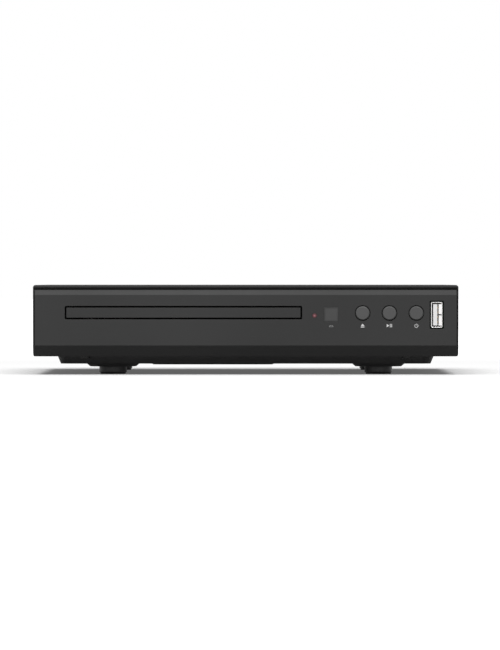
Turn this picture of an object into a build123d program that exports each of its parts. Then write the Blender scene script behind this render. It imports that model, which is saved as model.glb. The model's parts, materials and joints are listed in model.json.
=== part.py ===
from build123d import *
import os
from math import acos, atan, cos, degrees, pi, radians, sin, sqrt, tan

# Compact disc player with a loading tray, in millimetres.
# The origin is on the floor under the middle, X to the viewer's right, Y to the back and Z up.

# Common values
SHEET = 0.8  # steel sheet of the pan and the cover
FIT = 0.3  # gap between pieces that move past each other
SHAFT_FIT = 0.05  # radial play of a shaft in its bore
COVER_FIT = 0.15  # play between the cover and what it slides over
SEAM = 0.3  # joint line between the outer pieces
OVERRUN = 1.0  # how far a cut runs past the face that it opens

# Casing
SLOT_SIDE = 16.85  # tray slot from the left side
SOCKET_SIDE = 11.5  # host socket from the right side
HEADROOM = 2.85  # under the cover, above the clamp bridge
PAN_DROP = 4.05  # tub of the pan below the edge of the cover
PLINTH_DROP = 1.6  # foot plinths below the tub
FOOT_HEIGHT = 4.0  # foot below its plinth
CORNER = 1.4  # corner radius of the front outline
JACK_REACH = 8.0  # jack barrels behind the cover
BUTTON_PROUD = 0.5  # button caps in front of the fascia

# Fascia
SKIRT = 11.0  # depth of the skirt behind the face
WALL = 2.2
RIM = 1.3
RIM_SETBACK = 1.2
RIM_ROUND = 0.45
GROOVE = 1.35
GROOVE_DEPTH = 1.6
SIDE_BORDER = 1.0  # outer edge to the raised face at each side
SIDE_GROOVE = 0.7
BEVEL_DROP = 2.6
BEVEL_SETBACK = 1.3
KNEE_RISE = 5.85  # height of the undercut band
KNEE_SETBACK = 4.5
TONGUE = 1.2  # lip that the cover slides over
TONGUE_REACH = 4.0
FLAP_REACH = 5.6  # lower lip that stands on the pan
FLAP_SIDE = 16.5
FLAP_SCREW_SIDE = 27.5
FLAP_BOSS_R = 2.6
FLAP_BOSS_RISE = 6.0

# Tray slot and door
SLOT_PLAY = 1.5  # slot beside the tray
SLOT_ROOM = 1.15  # slot above and below the tray
SLOT_ROUND = 0.8
DOOR_GAP = 0.9
DOOR_THICK = 2.4
DOOR_HOOK = 2.0
DOOR_HOOK_INSET = 16.25

# Lamp, window, buttons and host socket, each counted from the one on its left
LAMP_STEP = 6.55
LAMP_DROP = 1.55  # below the middle of the slot, as the other three
LAMP_R = 1.25
LAMP_LAP = 1.2
LAMP_FLANGE = 1.0
WINDOW_STEP = 8.8
WINDOW_DROP = 0.95
WINDOW_SIZE = 7.6
WINDOW_FLANGE = 1.1
BUTTON_STEP = 16.6
BUTTON_PITCH = 14.2
BUTTON_DROP = 0.25
BUTTON_R = 3.65
BUTTON_GAP = 0.5
BUTTON_EDGE = 0.4
BUTTON_FLANGE = 1.2  # thickness of the flange that keeps the cap in
BUTTON_LAP = 1.45
BUTTON_STEM_R = 2.0
BUTTON_TRAVEL = 0.5
SOCKET_STEP = 10.8
SOCKET_DROP = 1.15
SOCKET_GAP = 0.8  # cut-out beside the socket
SOCKET_END_GAP = 0.65  # cut-out above and below it
SOCKET_CUT_ROUND = 0.4
SOCKET_WIDTH = 5.9
SOCKET_HEIGHT = 13.5
SOCKET_ROUND = 0.7
SOCKET_SHEET = 0.35
SOCKET_INSET = 0.8  # mouth of the socket behind the face
SOCKET_BASE = 3.0
TONGUE_INSET = 1.3
SOCKET_TONGUE = 2.2
SOCKET_TONGUE_MARGIN = 1.15
SOCKET_TONGUE_SHIFT = 0.75  # tongue left of the middle of the socket

# Front board and what it carries
BOARD = 1.6  # thickness of every board
BOARD_SETBACK = 14.6  # face of the fascia to the front board
FRONT_BOARD_INSET = 2.4  # left of the lamp
FRONT_BOARD_SIDE = 4.5  # from the right side
FRONT_BOARD_GAP = 1.2  # above the bosses of the fascia
FRONT_BOARD_DROP = 4.85  # below the top
FRONT_BOSS_R = 2.8
FRONT_BOSS_LOW = 4.0  # above the lower edge of the board
FRONT_BOSS_HIGH = 3.0  # below its upper edge
SWITCH_SIZE = 6.0
SWITCH_HEIGHT = 3.5
PLUNGER_R = 1.7
PLUNGER_REACH = 1.4
PLUNGER_DEPTH = 1.0
RECEIVER_WIDTH = 6.0
RECEIVER_HEIGHT = 7.0
RECEIVER_DEPTH = 4.0
RECEIVER_DOME_R = 2.4
LED_WIDTH = 3.0
LED_HEIGHT = 1.6
LED_DEPTH = 2.0

# Screws
SCREW_R = 1.2
SCREW_LAP = 1.1  # head around the shank
SCREW_HEAD = 1.5
SCREW_LENGTH = 5.0

# Pan
TUB_SIDE = 12.25  # tub from the side of the cover
TUB_STEP = 8.5  # tub behind the skirt of the fascia
TUB_BACK = 10.0  # tub in front of the back
TUB_INSET = 1.7  # slope of the tub wall
TUB_ROUND = 7.0
EMBOSS_STEP = 6.3  # central emboss right of the left plinth
EMBOSS_WIDTH = 65.7
EMBOSS_MARGIN = 20.0  # emboss behind the front of the tub
EMBOSS_TAIL = 40.0  # emboss in front of the back of the tub
EMBOSS_DROP = 0.7
EMBOSS_ROUND = 5.0
SIDE_FLANGE = 9.0
FOOT_SIDE = 41.6  # feet from the sides
PLINTH_R = 14.2
PLINTH_INSET = 1.9
PLINTH_GAP = 1.0  # plinth from the wall of the tub
VENT_WIDTH = 2.4
VENT_LENGTH = 26.0
VENT_PITCH = 5.0
VENT_COUNT = 9
VENT_SIDE = 30.0  # middle of the vents from the side of the tub
VENT_TAIL = 72.0  # and from its back
REAR_VENT_COUNT = 10
REAR_VENT_LENGTH = 9.0
REAR_VENT_DROP = 25.0  # below the top
REAR_VENT_X = 3.0

# Feet
FOOT_R = 7.4
FOOT_STEM_R = 2.6
FOOT_HEAD_LAP = 0.9
FOOT_HEAD = 1.2
FOOT_ROUND = 0.5
PAD_INSET = 0.7
PAD_HEIGHT = 1.4
PAD_PROUD = 0.6

# Cover
LIP_HEIGHT = 9.0  # rear lip of the cover
LIP_INSET = 3.0
LIP_SCREW_DROP = 4.5  # below the top
LIP_SCREW_SIDE = 22.5

# Loader frame
LOADER_GAP = 2.0  # behind the tongue of the fascia
LOADER_WALL = 2.6
LOADER_RISE = 1.05  # above the flange of the pan
TRAY_PLAY = 0.5  # side play of the tray
DECK = 2.0
APRON = 2.0
APRON_GAP = 2.5  # in front of and behind the loading motor
LEDGE = 2.6
LEDGE_THICK = 1.5
TAB_REACH = 3.0
TAB_LENGTH = 8.0
TAB_THICK = 1.6
REAR_BEAM = 7.0
REAR_BEAM_DROP = 3.0  # below the tray
EAR = 10.0
EAR_THICK = 3.0
EAR_SETBACK = 10.0
POST_R = 3.2
BRIDGE_POST = 3.6
BRIDGE_POST_HALF = 8.0

# Tray
DISC_R = 60.3  # well of a full size disc
DISC_RECESS = 1.6
SMALL_DISC_R = 40.3
SMALL_DISC_RECESS = 1.6
TRAY_RIM = 0.95  # beside the well
TRAY_LIP = 9.8  # door to the well, or more where the spindle needs it
TRAY_WALL = 1.2
TRAY_SHOE = 0.4  # tray below the floor of its deepest well
TRAY_DECK = 1.5
TRAY_SKIRT = 1.8
TRAY_ROUND = 3.0
HUB_HOLE_R = 18.0
PICKUP_SLOT = 34.0
PICKUP_SLOT_TAIL = 11.5  # slot behind the outermost place of the lens holder
FINGER_R = 9.0

# Loading gears, all of one tooth size
MODULE = 1.0
PRESSURE_DEG = 25.0
TIP_SHARE = 0.9  # of the module
ROOT_SHARE = 1.2
SLACK_SHARE = 0.1
PINION_TEETH = 15  # drive gear, meets the rack
WHEEL_TEETH = 20  # drive gear, meets the pulley gear
PULLEY_TEETH = 12
RACK_BACK = 2.15  # side of the tray to the roots of the rack
RACK_TAIL = 3.5  # rack past the drive gear when the tray is out
WHEEL_THICK = 2.0
GEAR_GAP = 0.5  # pulleys below the tray
PINION_OVERLAP = 1.7  # pinion above the under side of the tray
NECK_STEP = 1.3  # neck of the drive gear inside the roots of its pinion
GEAR_PIN_R = 1.5
PULLEY_GAP = 1.4  # pulley from the neck of the drive gear
PULLEY_THICK = 1.8
PULLEY_GROOVE = 1.1
MOTOR_PULLEY_R = 4.2
MOTOR_STEP = 48.4  # motor right of the drive gear
BELT = 0.9
MOTOR_R = 12.0
MOTOR_GAP = 0.8  # motor above the flange of the pan
MOTOR_BOSS_R = 3.0
MOTOR_SHAFT_R = 1.0

# Traverse: what carries the spindle and the pickup, level while a disc plays
TILT_DEG = 5.8  # how far it is lowered at rest
PLAY_RISE = 1.6  # disc above its well while it plays
PIVOT_STEP = 5.7  # pivot behind the window of the sled
PIVOT_SETBACK = 14.0  # pivot in front of the back of the loader
PIVOT_DROP = 9.25  # pivot below the disc
TRUNNION_R = 1.8
TRUNNION_REACH = 9.0
BUSH_WALL = 1.0
BUSH_LENGTH = 6.0
BEARING_WALL = 1.2
PLATE_DROP = 5.6  # plate below the disc
PLATE = 2.6
PLATE_MARGIN = 8.0  # plate right of its window
PLATE_TAIL = 3.0  # plate behind the pivot
FRONT_FLANGE = 2.0
SIDE_RIB = 2.0
SIDE_RIB_DROP = 4.4
LIFT_PIN_R = 1.5
LIFT_PIN_X = 24.0
LIFT_PIN_GAP = 2.7  # front flange behind the cam slider
WINDOW_MARGIN = 3.0  # window left of the sled
WINDOW_SCREW_MARGIN = 5.0  # window right of the lead screw
WINDOW_PLAY = 0.8  # window past both ends of the sled's travel
ROD_R = 1.5
ROD_INSET = 4.0  # rods inside the sides of the sled
ROD_DROP = 11.0
ROD_SEAT = 5.0
ROD_SEAT_WALL = 2.0
SPINDLE_R = 13.0
SPINDLE_GAP = 1.0  # spindle motor behind the front flange
SPINDLE_HEIGHT = 4.2
SPINDLE_FOOT_R = 9.0
SPINDLE_FOOT = 2.0
TURNTABLE_R = 14.0
TURNTABLE = 1.1
HUB_R = 7.4
HUB_TAPER = 1.8
HUB_HEIGHT = 2.3
PAD_RING = 0.5  # raised seat of the disc
PAD_RING_WIDTH = 3.1
LEAD_STEP = 5.0  # lead screw right of the sled
LEAD_R = 1.4
LEAD_NOTCH = 0.4  # play of the nut around the lead screw
SLED_MOTOR_R = 5.0
SLED_MOTOR_LENGTH = 12.0

# Pickup sled
LENS_HOME = 23.0  # lens from the spindle at rest
SLED_TRAVEL = 36.0
SLED_FRONT = 7.0  # sled in front of the lens
SLED_BACK = 20.0
SLED_HALF = 24.0
SLED_DROP = 6.4  # top of the sled below the disc
SLED_UNDER = 3.4  # sled below its rods
SLED_ARM = 4.0
HOLDER_WIDTH = 15.0
HOLDER_LENGTH = 11.0
HOLDER_DROP = 2.6
HOLDER_ROUND = 1.5
LENS_R = 2.3
LENS_DROP = 1.7

# Cam slider that lifts the traverse
SLIDER_TRAVEL = 16.0
SLIDER = 2.4
SLIDER_MARGIN = 1.4  # slider around its slots
SLIDER_FOOT = 0.51  # slider under its slots
SLIDER_HOOK = 1.2
SLIDER_HOOK_HALF = 4.0
SLIDER_HOOK_X = 10.0
SLIDER_LEDGE = 0.8

# Clamper
CLAMP_GAP = 2.8  # clamper above the tray
CLAMPER_NECK_R = 10.6
CLAMPER_LAP = 4.4
CLAMPER_FLANGE = 1.6
CLAMPER_DISH_GAP = 1.0
CLAMPER_DISH = 1.0
BRIDGE = 1.5
BRIDGE_HALF = 17.0
BRIDGE_HOLE_GAP = 1.0
BRIDGE_RIB = 2.4
YOKE_LAP = 3.4
YOKE = 1.2

# Boards behind
BOARD_RISE = 5.2  # above the floor of the pan
BOARD_BACK = 1.9  # in front of the rear wall
MAIN_GAP = 2.55  # main board right of the loader
MAIN_SIDE = 4.0  # main board from the right side
MAIN_STEP = 7.8  # main board behind the front board
MAIN_POST_INSET = 5.0
POWER_GAP = 2.5  # power board behind the loader
POWER_DEPTH = 22.0
POWER_HALF = 60.0
CHIP_SIZE = 20.0
CHIP_THICK = 1.7
CHIP_X = 34.0  # chips and capacitors from the front left corner of the main board
CHIP_Y = 46.0
SMALL_CHIP_WIDTH = 8.0
SMALL_CHIP_LENGTH = 12.0
SMALL_CHIP_XS = (14.0, 14.0, 48.0)
SMALL_CHIP_YS = (36.0, 60.0, 80.0)
CAP_R = 3.2
CAP_HEIGHT = 11.0
CAP_XS = (16.0, 28.0, 40.0, 52.0, 52.0)
CAP_YS = (116.0, 116.0, 116.0, 116.0, 36.0)
TRANSFORMER_X = 8.0  # what stands on the power board, from the middle of the tray
TRANSFORMER_WIDTH = 18.0
TRANSFORMER_DEPTH = 16.0
TRANSFORMER_HEIGHT = 17.0
COIL_WIDTH = 10.0
COIL_SWELL = 1.8
BULK_X = -14.0
BULK_R = 6.5
BULK_HEIGHT = 20.0
SINK_X = 32.0
SINK_WIDTH = 18.0
SINK_HEIGHT = 18.0
SINK_BASE = 1.6
SINK_FIN = 1.0
SINK_FIN_REACH = 5.0
SINK_FIN_COUNT = 5

# Sockets on the rear wall
INLET_SIDE = 34.5  # from the left side
INLET_WIDTH = 19.6
INLET_HEIGHT = 12.2
INLET_WALL = 1.7
INLET_DEPTH = 14.0
INLET_FLOOR = 3.0
INLET_FLANGE = 2.2
INLET_FLANGE_THICK = 1.6
INLET_PROUD = 1.0
PRONG_R = 1.15
PRONG_PITCH = 8.6
PRONG_LENGTH = 8.5
JACK_PITCH = 14.0
JACK_RISE = 8.0  # above the main board
JACK_R = 4.15
JACK_WALL = 0.6
JACK_BLOCK_DEPTH = 10.0
JACK_BLOCK_MARGIN = 6.5  # block past the outer jacks
JACK_BLOCK_HEIGHT = 13.0
JACK_HOLE_R = 1.7
JACK_HOLE_GAP = 0.4  # rear wall around a barrel
JACK_INSERT_INSET = 0.6
VIDEO_GAP = 3.0  # video socket left of the jack block
VIDEO_WIDTH = 15.0
VIDEO_HEIGHT = 5.7
VIDEO_BEVEL = 1.6
VIDEO_SHEET = 0.4
VIDEO_DEPTH = 11.0
VIDEO_TONGUE = 0.9
VIDEO_TONGUE_MARGIN = 1.8
VIDEO_TONGUE_INSET = 1.8
VIDEO_BASE = 3.5

# Leads
RIBBON = 0.4
RIBBON_WIDTH = 14.0
RIBBON_X = 18.0  # from the left edge of the main board
RIBBON_RISE = 9.0  # above the main board
RIBBON_REACH = 8.0  # onto the main board
RIBBON_BEND = 3.0
LEAD_THICK = 1.2
LEAD_WIDTH = 8.0
LEAD_RISE = 9.0
LEAD_INSET = 6.0  # end of the lead from the edge of its board

# Tray, slot and width of the front
TRAY_THICK = DISC_RECESS + SMALL_DISC_RECESS + TRAY_WALL + TRAY_SHOE
TRAY_WIDTH = (DISC_R + TRAY_RIM) * 2
SLOT_WIDTH = TRAY_WIDTH + SLOT_PLAY * 2
SLOT_HEIGHT = TRAY_THICK + SLOT_ROOM * 2
PANEL = LAMP_STEP + WINDOW_STEP + BUTTON_STEP + BUTTON_PITCH * 2 + SOCKET_STEP + SOCKET_SIDE
WIDTH = SLOT_SIDE + SLOT_WIDTH + PANEL
HALF = WIDTH / 2

# Widths, from the middle
TRAY_X = SLOT_SIDE + SLOT_WIDTH / 2 - HALF
LAMP_X = TRAY_X + SLOT_WIDTH / 2 + LAMP_STEP
WINDOW_X = LAMP_X + WINDOW_STEP
BUTTON_FIRST_X = WINDOW_X + BUTTON_STEP
SOCKET_X = HALF - SOCKET_SIDE
LOADER_HALF = TRAY_WIDTH / 2 + TRAY_PLAY
RACK_X = TRAY_X - TRAY_WIDTH / 2 + RACK_BACK + MODULE * ROOT_SHARE
GEAR_X = RACK_X + MODULE * PINION_TEETH / 2
GEAR_SPACING = MODULE * (WHEEL_TEETH + PULLEY_TEETH) / 2
PULLEY_X = GEAR_X + GEAR_SPACING
MOTOR_X = GEAR_X + MOTOR_STEP
NECK_R = MODULE * PINION_TEETH / 2 - MODULE * ROOT_SHARE - NECK_STEP
PULLEY_R = GEAR_SPACING - NECK_R - PULLEY_GAP
TUB_HALF = HALF - TUB_SIDE
FOOT_X = HALF - FOOT_SIDE
EMBOSS_LEFT = PLINTH_R + EMBOSS_STEP - FOOT_X
ROD_X = SLED_HALF - ROD_INSET
LEAD_X = SLED_HALF + LEAD_STEP
WINDOW_RIGHT = LEAD_X + WINDOW_SCREW_MARGIN
TRAVERSE_HALF = WINDOW_RIGHT + PLATE_MARGIN
MAIN_LEFT = TRAY_X + LOADER_HALF + LOADER_WALL + EAR + MAIN_GAP
MAIN_RIGHT = HALF - MAIN_SIDE
JACK_BLOCK_WIDTH = (JACK_PITCH + JACK_BLOCK_MARGIN) * 2
JACK_X = MAIN_RIGHT - JACK_BLOCK_WIDTH / 2
VIDEO_X = JACK_X - JACK_BLOCK_WIDTH / 2 - VIDEO_GAP - VIDEO_WIDTH / 2
INLET_X = INLET_SIDE - HALF

# Depths, from the face of the fascia to the back
LOADER_SETBACK = SKIRT + TONGUE_REACH + LOADER_GAP
DECK_END = LOADER_SETBACK + (APRON_GAP + MOTOR_R) * 2 + APRON
PLATE_FRONT = DECK_END + FIT + SLIDER + LIFT_PIN_GAP
SPINDLE_NEED = PLATE_FRONT + FRONT_FLANGE + SPINDLE_R + SPINDLE_GAP
DISC_SETBACK = max(DOOR_THICK + TRAY_LIP + DISC_R, SPINDLE_NEED)
SLED_REACH = LENS_HOME + SLED_TRAVEL + SLED_BACK + WINDOW_PLAY
LOADER_END = DISC_SETBACK + SLED_REACH + PIVOT_STEP + PIVOT_SETBACK
BODY_DEPTH = LOADER_END + POWER_GAP + POWER_DEPTH + BOARD_BACK + SHEET * 2
FACE = (BUTTON_PROUD - BODY_DEPTH - JACK_REACH) / 2
BACK = FACE + BODY_DEPTH
SKIRT_Y = FACE + SKIRT
COVER_Y = SKIRT_Y + SEAM
WALL_BACK_Y = BACK - SHEET  # outer face of the rear wall
WALL_FRONT_Y = WALL_BACK_Y - SHEET
BOARD_Y = FACE + BOARD_SETBACK
MAIN_Y = BOARD_Y + BOARD + MAIN_STEP
LOADER_Y = FACE + LOADER_SETBACK
LOADER_BACK_Y = FACE + LOADER_END
GEAR_Y = LOADER_Y + APRON_GAP + MOTOR_R
APRON_Y = FACE + DECK_END
SLIDER_Y = APRON_Y + FIT
TRAY_Y = FACE + DOOR_THICK
TRAY_BACK_Y = LOADER_BACK_Y - APRON
TRAY_TRAVEL = TRAY_BACK_Y - GEAR_Y - RACK_TAIL
DISC_Y = FACE + DISC_SETBACK
LENS_Y = DISC_Y + LENS_HOME
WINDOW_FRONT_Y = LENS_Y - SLED_FRONT - WINDOW_PLAY
WINDOW_BACK_Y = DISC_Y + SLED_REACH
PIVOT_Y = WINDOW_BACK_Y + PIVOT_STEP
TUB_FRONT_Y = SKIRT_Y + TUB_STEP
TUB_BACK_Y = BACK - TUB_BACK
POWER_Y = LOADER_BACK_Y + POWER_GAP
BOARD_BACK_Y = WALL_FRONT_Y - BOARD_BACK
PICKUP_SLOT_LENGTH = LENS_HOME + SLED_TRAVEL + HOLDER_LENGTH / 2 + PICKUP_SLOT_TAIL

# Heights, from the floor up
PAN_Z = FOOT_HEIGHT + PLINTH_DROP
FLOOR_Z = PAN_Z + SHEET
EDGE_Z = PAN_Z + PAN_DROP
FLANGE_Z = EDGE_Z + SHEET
LOADER_Z = FLANGE_Z + LOADER_RISE
CAM_SLOT = LIFT_PIN_R + FIT
LIFT = (PIVOT_Y - SLIDER_Y) * sin(radians(TILT_DEG))
SLIDER_Z = LOADER_Z + SLIDER_LEDGE + FIT
PIVOT_Z = SLIDER_Z + SLIDER_FOOT + CAM_SLOT + LIFT
PLAY_Z = PIVOT_Z + PIVOT_DROP
WELL_Z = PLAY_Z - PLAY_RISE
TRAY_TOP = WELL_Z + DISC_RECESS
TRAY_Z = TRAY_TOP - TRAY_THICK
SLOT_Z = TRAY_Z + TRAY_THICK / 2
LAMP_Z = SLOT_Z - LAMP_DROP
WINDOW_Z = SLOT_Z - WINDOW_DROP
BUTTON_Z = SLOT_Z - BUTTON_DROP
SOCKET_Z = SLOT_Z - SOCKET_DROP
PULLEY_Z = TRAY_Z - GEAR_GAP - PULLEY_THICK
WHEEL_Z = PULLEY_Z - FIT - WHEEL_THICK
DECK_Z = WHEEL_Z - FIT
MOTOR_LENGTH = DECK_Z - DECK - MOTOR_GAP - FLANGE_Z
ROD_Z = PLAY_Z - ROD_DROP
CLAMP_Z = TRAY_TOP + CLAMP_GAP
BRIDGE_Z = CLAMP_Z + CLAMPER_FLANGE + FIT
TOP_Z = BRIDGE_Z + BRIDGE + BRIDGE_RIB + HEADROOM + SHEET
FASCIA_HEIGHT = TOP_Z - EDGE_Z
BOARD_Z = FLOOR_Z + BOARD_RISE
BOARD_TOP = BOARD_Z + BOARD
JACK_Z = BOARD_TOP + JACK_RISE
INLET_Z = BOARD_TOP + INLET_HEIGHT / 2 + INLET_FLANGE
VIDEO_Z = BOARD_TOP + VIDEO_HEIGHT / 2
PILOT_R = SCREW_R + SHAFT_FIT
PAD_R = FOOT_R - PAD_INSET


def block(left, right, front, back, low, high):
    """Plain block between six planes."""
    middle = Pos((left + right) / 2, (front + back) / 2, (low + high) / 2)
    return middle * Box(right - left, back - front, high - low)


def outline(points):
    """Face of a closed outline, facing up whichever way it runs."""
    ring = list(points)
    turn = sum(a[0] * b[1] - b[0] * a[1] for a, b in zip(ring, ring[1:] + ring[:1]))
    return Polygon(*(ring if turn > 0 else ring[::-1]))


def upward(sketch, low, high):
    """A plan (X, Y) raised between two heights."""
    return extrude(Plane.XY.offset(low) * sketch, amount=high - low, dir=(0, 0, 1))


def through(sketch, front, back):
    """A front view (X, Z) taken between two depths."""
    plane = Plane((0, back, 0), x_dir=(1, 0, 0), z_dir=(0, -1, 0))
    return extrude(plane * sketch, amount=back - front, dir=(0, -1, 0))


def across(sketch, left, right):
    """A side view (Y, Z) taken between two widths."""
    plane = Plane((left, 0, 0), x_dir=(0, 1, 0), z_dir=(1, 0, 0))
    return extrude(plane * sketch, amount=right - left, dir=(1, 0, 0))


def upright(radius, low, high, x, y):
    """Cylinder standing on a plan point."""
    return upward(Pos(x, y) * Circle(radius), low, high)


def endwise(radius, front, back, x, z):
    """Cylinder that runs from front to back."""
    return through(Pos(x, z) * Circle(radius), front, back)


def sideways(radius, left, right, y, z):
    """Cylinder that runs from side to side."""
    return across(Pos(y, z) * Circle(radius), left, right)


def turned(points):
    """Outline of radius and height turned about Z."""
    return revolve(Plane.XZ * outline(points), Axis.Z)


def facing_front(shape):
    """A shape made along Z, laid with its top to the front."""
    return shape.rotate(Axis.X, 90)


def facing_back(shape):
    """A shape made along Z, laid with its top to the back."""
    return shape.rotate(Axis.X, -90)


def screw(length=SCREW_LENGTH):
    """Pan head screw that points down, with the seat of its head at the origin."""
    crown = SCREW_R + SCREW_LAP / 2
    return turned(
        [
            (0, -length),
            (SCREW_R, -length),
            (SCREW_R, 0),
            (SCREW_R + SCREW_LAP, 0),
            (SCREW_R + SCREW_LAP, SCREW_HEAD / 2),
            (crown, SCREW_HEAD),
            (0, SCREW_HEAD),
        ]
    )


def frustum(left, right, front, back, corner, inset, low, high):
    """Pressed form whose walls draw in by an inset on the way down."""
    middle = Pos((left + right) / 2, (front + back) / 2)
    wide, deep = right - left, back - front
    top = Plane.XY.offset(high) * middle * RectangleRounded(wide, deep, corner)
    small = RectangleRounded(wide - inset * 2, deep - inset * 2, corner - inset / 2)
    return loft([top, Plane.XY.offset(low) * middle * small])


def pressing(left, right, front, back, corner, inset, drop, high):
    """Outside and inside of a sheet pressed down from a level, walls of one thickness."""
    outer = frustum(left, right, front, back, corner, inset, high - drop, high)
    slope = inset / drop
    shift = SHEET * sqrt(1 + slope**2) - SHEET * slope
    inner = frustum(
        left + shift,
        right - shift,
        front + shift,
        back - shift,
        corner - shift,
        inset,
        high - drop + SHEET,
        high + SHEET,
    )
    return outer, inner


def foot_places():
    inset = TUB_INSET + PLINTH_R + PLINTH_GAP
    return [(x, y) for x in (-FOOT_X, FOOT_X) for y in (TUB_FRONT_Y + inset, TUB_BACK_Y - inset)]


def ear_places():
    """Plan points of the four screws that hold the loader."""
    reach = LOADER_HALF + LOADER_WALL + EAR / 2
    rows = (LOADER_Y + EAR_SETBACK, LOADER_BACK_Y - EAR_SETBACK)
    return [(TRAY_X + side * reach, y) for side in (-1, 1) for y in rows]


def main_post_places():
    rows = (MAIN_Y + MAIN_POST_INSET, POWER_Y - MAIN_POST_INSET)
    right = TUB_HALF - TUB_INSET - POST_R - MAIN_POST_INSET
    return [(x, y) for x in (MAIN_LEFT + MAIN_POST_INSET, right) for y in rows]


def power_post_places():
    y = POWER_Y + MAIN_POST_INSET
    left = -TUB_HALF + TUB_INSET + POST_R + MAIN_POST_INSET
    return [(left, y), (TRAY_X + POWER_HALF - MAIN_POST_INSET, y)]


def flap_screw_places():
    y = SKIRT_Y + FLAP_REACH / 2
    x = HALF - FLAP_SCREW_SIDE
    return [(-x, y), (x, y)]


def front_boss_places():
    """Front view points of the three screws that hold the front board."""
    first, second, third = button_xs()
    low = FLANGE_Z + FLAP_BOSS_RISE + FRONT_BOARD_GAP + FRONT_BOSS_LOW
    high = TOP_Z - FRONT_BOARD_DROP - FRONT_BOSS_HIGH
    ends = [((LAMP_X + WINDOW_X) / 2, low), ((third + SOCKET_X) / 2, low)]
    return ends + [((first + second) / 2, high)]


def lip_screw_places():
    reach = HALF - LIP_SCREW_SIDE
    return [(x, TOP_Z - LIP_SCREW_DROP) for x in (-reach, 0, reach)]


def button_xs():
    return [BUTTON_FIRST_X + i * BUTTON_PITCH for i in range(3)]


def jack_xs():
    return [JACK_X + i * JACK_PITCH for i in (-1, 0, 1)]


# Casing
def bottom_pan():
    """Pressed tub with foot plinths, side flanges and the rear wall with its cut-outs."""
    inside = HALF - SHEET - COVER_FIT
    front = COVER_Y
    back = WALL_BACK_Y
    plinth_z = FOOT_HEIGHT
    pan = block(-inside, inside, front, back, EDGE_Z, FLANGE_Z)
    tub = (-TUB_HALF, TUB_HALF, TUB_FRONT_Y, TUB_BACK_Y, TUB_ROUND, TUB_INSET)
    outer, inner = pressing(*tub, PAN_DROP, EDGE_Z)
    pan = pan + outer - inner
    ends = (TUB_FRONT_Y + EMBOSS_MARGIN, TUB_BACK_Y - EMBOSS_TAIL)
    emboss = (EMBOSS_LEFT, EMBOSS_LEFT + EMBOSS_WIDTH, *ends, EMBOSS_ROUND, EMBOSS_DROP)
    outer, inner = pressing(*emboss, EMBOSS_DROP, PAN_Z)
    pan = pan + outer - inner
    slope = PLINTH_INSET / PLINTH_DROP
    shift = SHEET * sqrt(1 + slope**2) - SHEET * slope
    cone = turned(
        [
            (0, plinth_z),
            (PLINTH_R - PLINTH_INSET, plinth_z),
            (PLINTH_R, PAN_Z),
            (0, PAN_Z),
        ]
    )
    dish = turned(
        [
            (0, plinth_z + SHEET),
            (PLINTH_R - PLINTH_INSET - shift, plinth_z + SHEET),
            (PLINTH_R - shift, FLOOR_Z),
            (0, FLOOR_Z),
        ]
    )
    for x, y in foot_places():
        pan = pan + Pos(x, y) * cone - Pos(x, y) * dish
        pan = pan - upright(FOOT_STEM_R + SHAFT_FIT, FOOT_HEIGHT - OVERRUN, FLOOR_Z, x, y)
    rear_top = TOP_Z - SHEET - COVER_FIT
    pan = pan + through(front_rectangle(inside, EDGE_Z, rear_top, CORNER - SHEET), WALL_FRONT_Y, back)
    flange_y = SKIRT_Y + TONGUE_REACH + OVERRUN
    for left in (-inside, inside - SHEET):
        pan = pan + block(left, left + SHEET, flange_y, back, EDGE_Z, EDGE_Z + SIDE_FLANGE)
    for x, y in ear_places():
        foot = FLANGE_Z if x < -TUB_HALF else FLOOR_Z
        pan = pan + upright(POST_R, foot, LOADER_Z, x, y)
        pan = pan - upright(PILOT_R, foot - SHEET - OVERRUN, LOADER_Z, x, y)
    for x, y in main_post_places() + power_post_places():
        pan = pan + upright(POST_R, FLOOR_Z, BOARD_Z, x, y)
        pan = pan - upright(PILOT_R, PAN_Z - OVERRUN, BOARD_Z, x, y)
    for x, y in flap_screw_places():
        pan = pan - upright(PILOT_R, EDGE_Z - OVERRUN, FLANGE_Z + OVERRUN, x, y)
    vent = SlotOverall(VENT_LENGTH, VENT_WIDTH, rotation=90)
    for i in range(VENT_COUNT):
        x = TUB_HALF - VENT_SIDE + (i - (VENT_COUNT - 1) / 2) * VENT_PITCH
        here = Pos(x, TUB_BACK_Y - VENT_TAIL)
        pan = pan - upward(here * vent, PAN_Z - OVERRUN, FLOOR_Z + OVERRUN)
    return pan - rear_openings(WALL_FRONT_Y - OVERRUN, back + OVERRUN)


def rear_openings(front, back):
    """Everything that is cut through the rear wall."""
    inlet = SlotOverall(INLET_WIDTH + COVER_FIT * 2, INLET_HEIGHT + COVER_FIT * 2)
    cut = through(Pos(INLET_X, INLET_Z) * inlet, front, back)
    for x in jack_xs():
        cut = cut + endwise(JACK_R + JACK_HOLE_GAP, front, back, x, JACK_Z)
    cut = cut + through(Pos(VIDEO_X, VIDEO_Z) * video_outline(COVER_FIT), front, back)
    for x, z in lip_screw_places():
        cut = cut + endwise(PILOT_R, front, back, x, z)
    vent = SlotOverall(REAR_VENT_LENGTH, VENT_WIDTH, rotation=90)
    for i in range(REAR_VENT_COUNT):
        x = REAR_VENT_X + (i - (REAR_VENT_COUNT - 1) / 2) * VENT_PITCH
        cut = cut + through(Pos(x, TOP_Z - REAR_VENT_DROP) * vent, front, back)
    return cut


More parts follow.
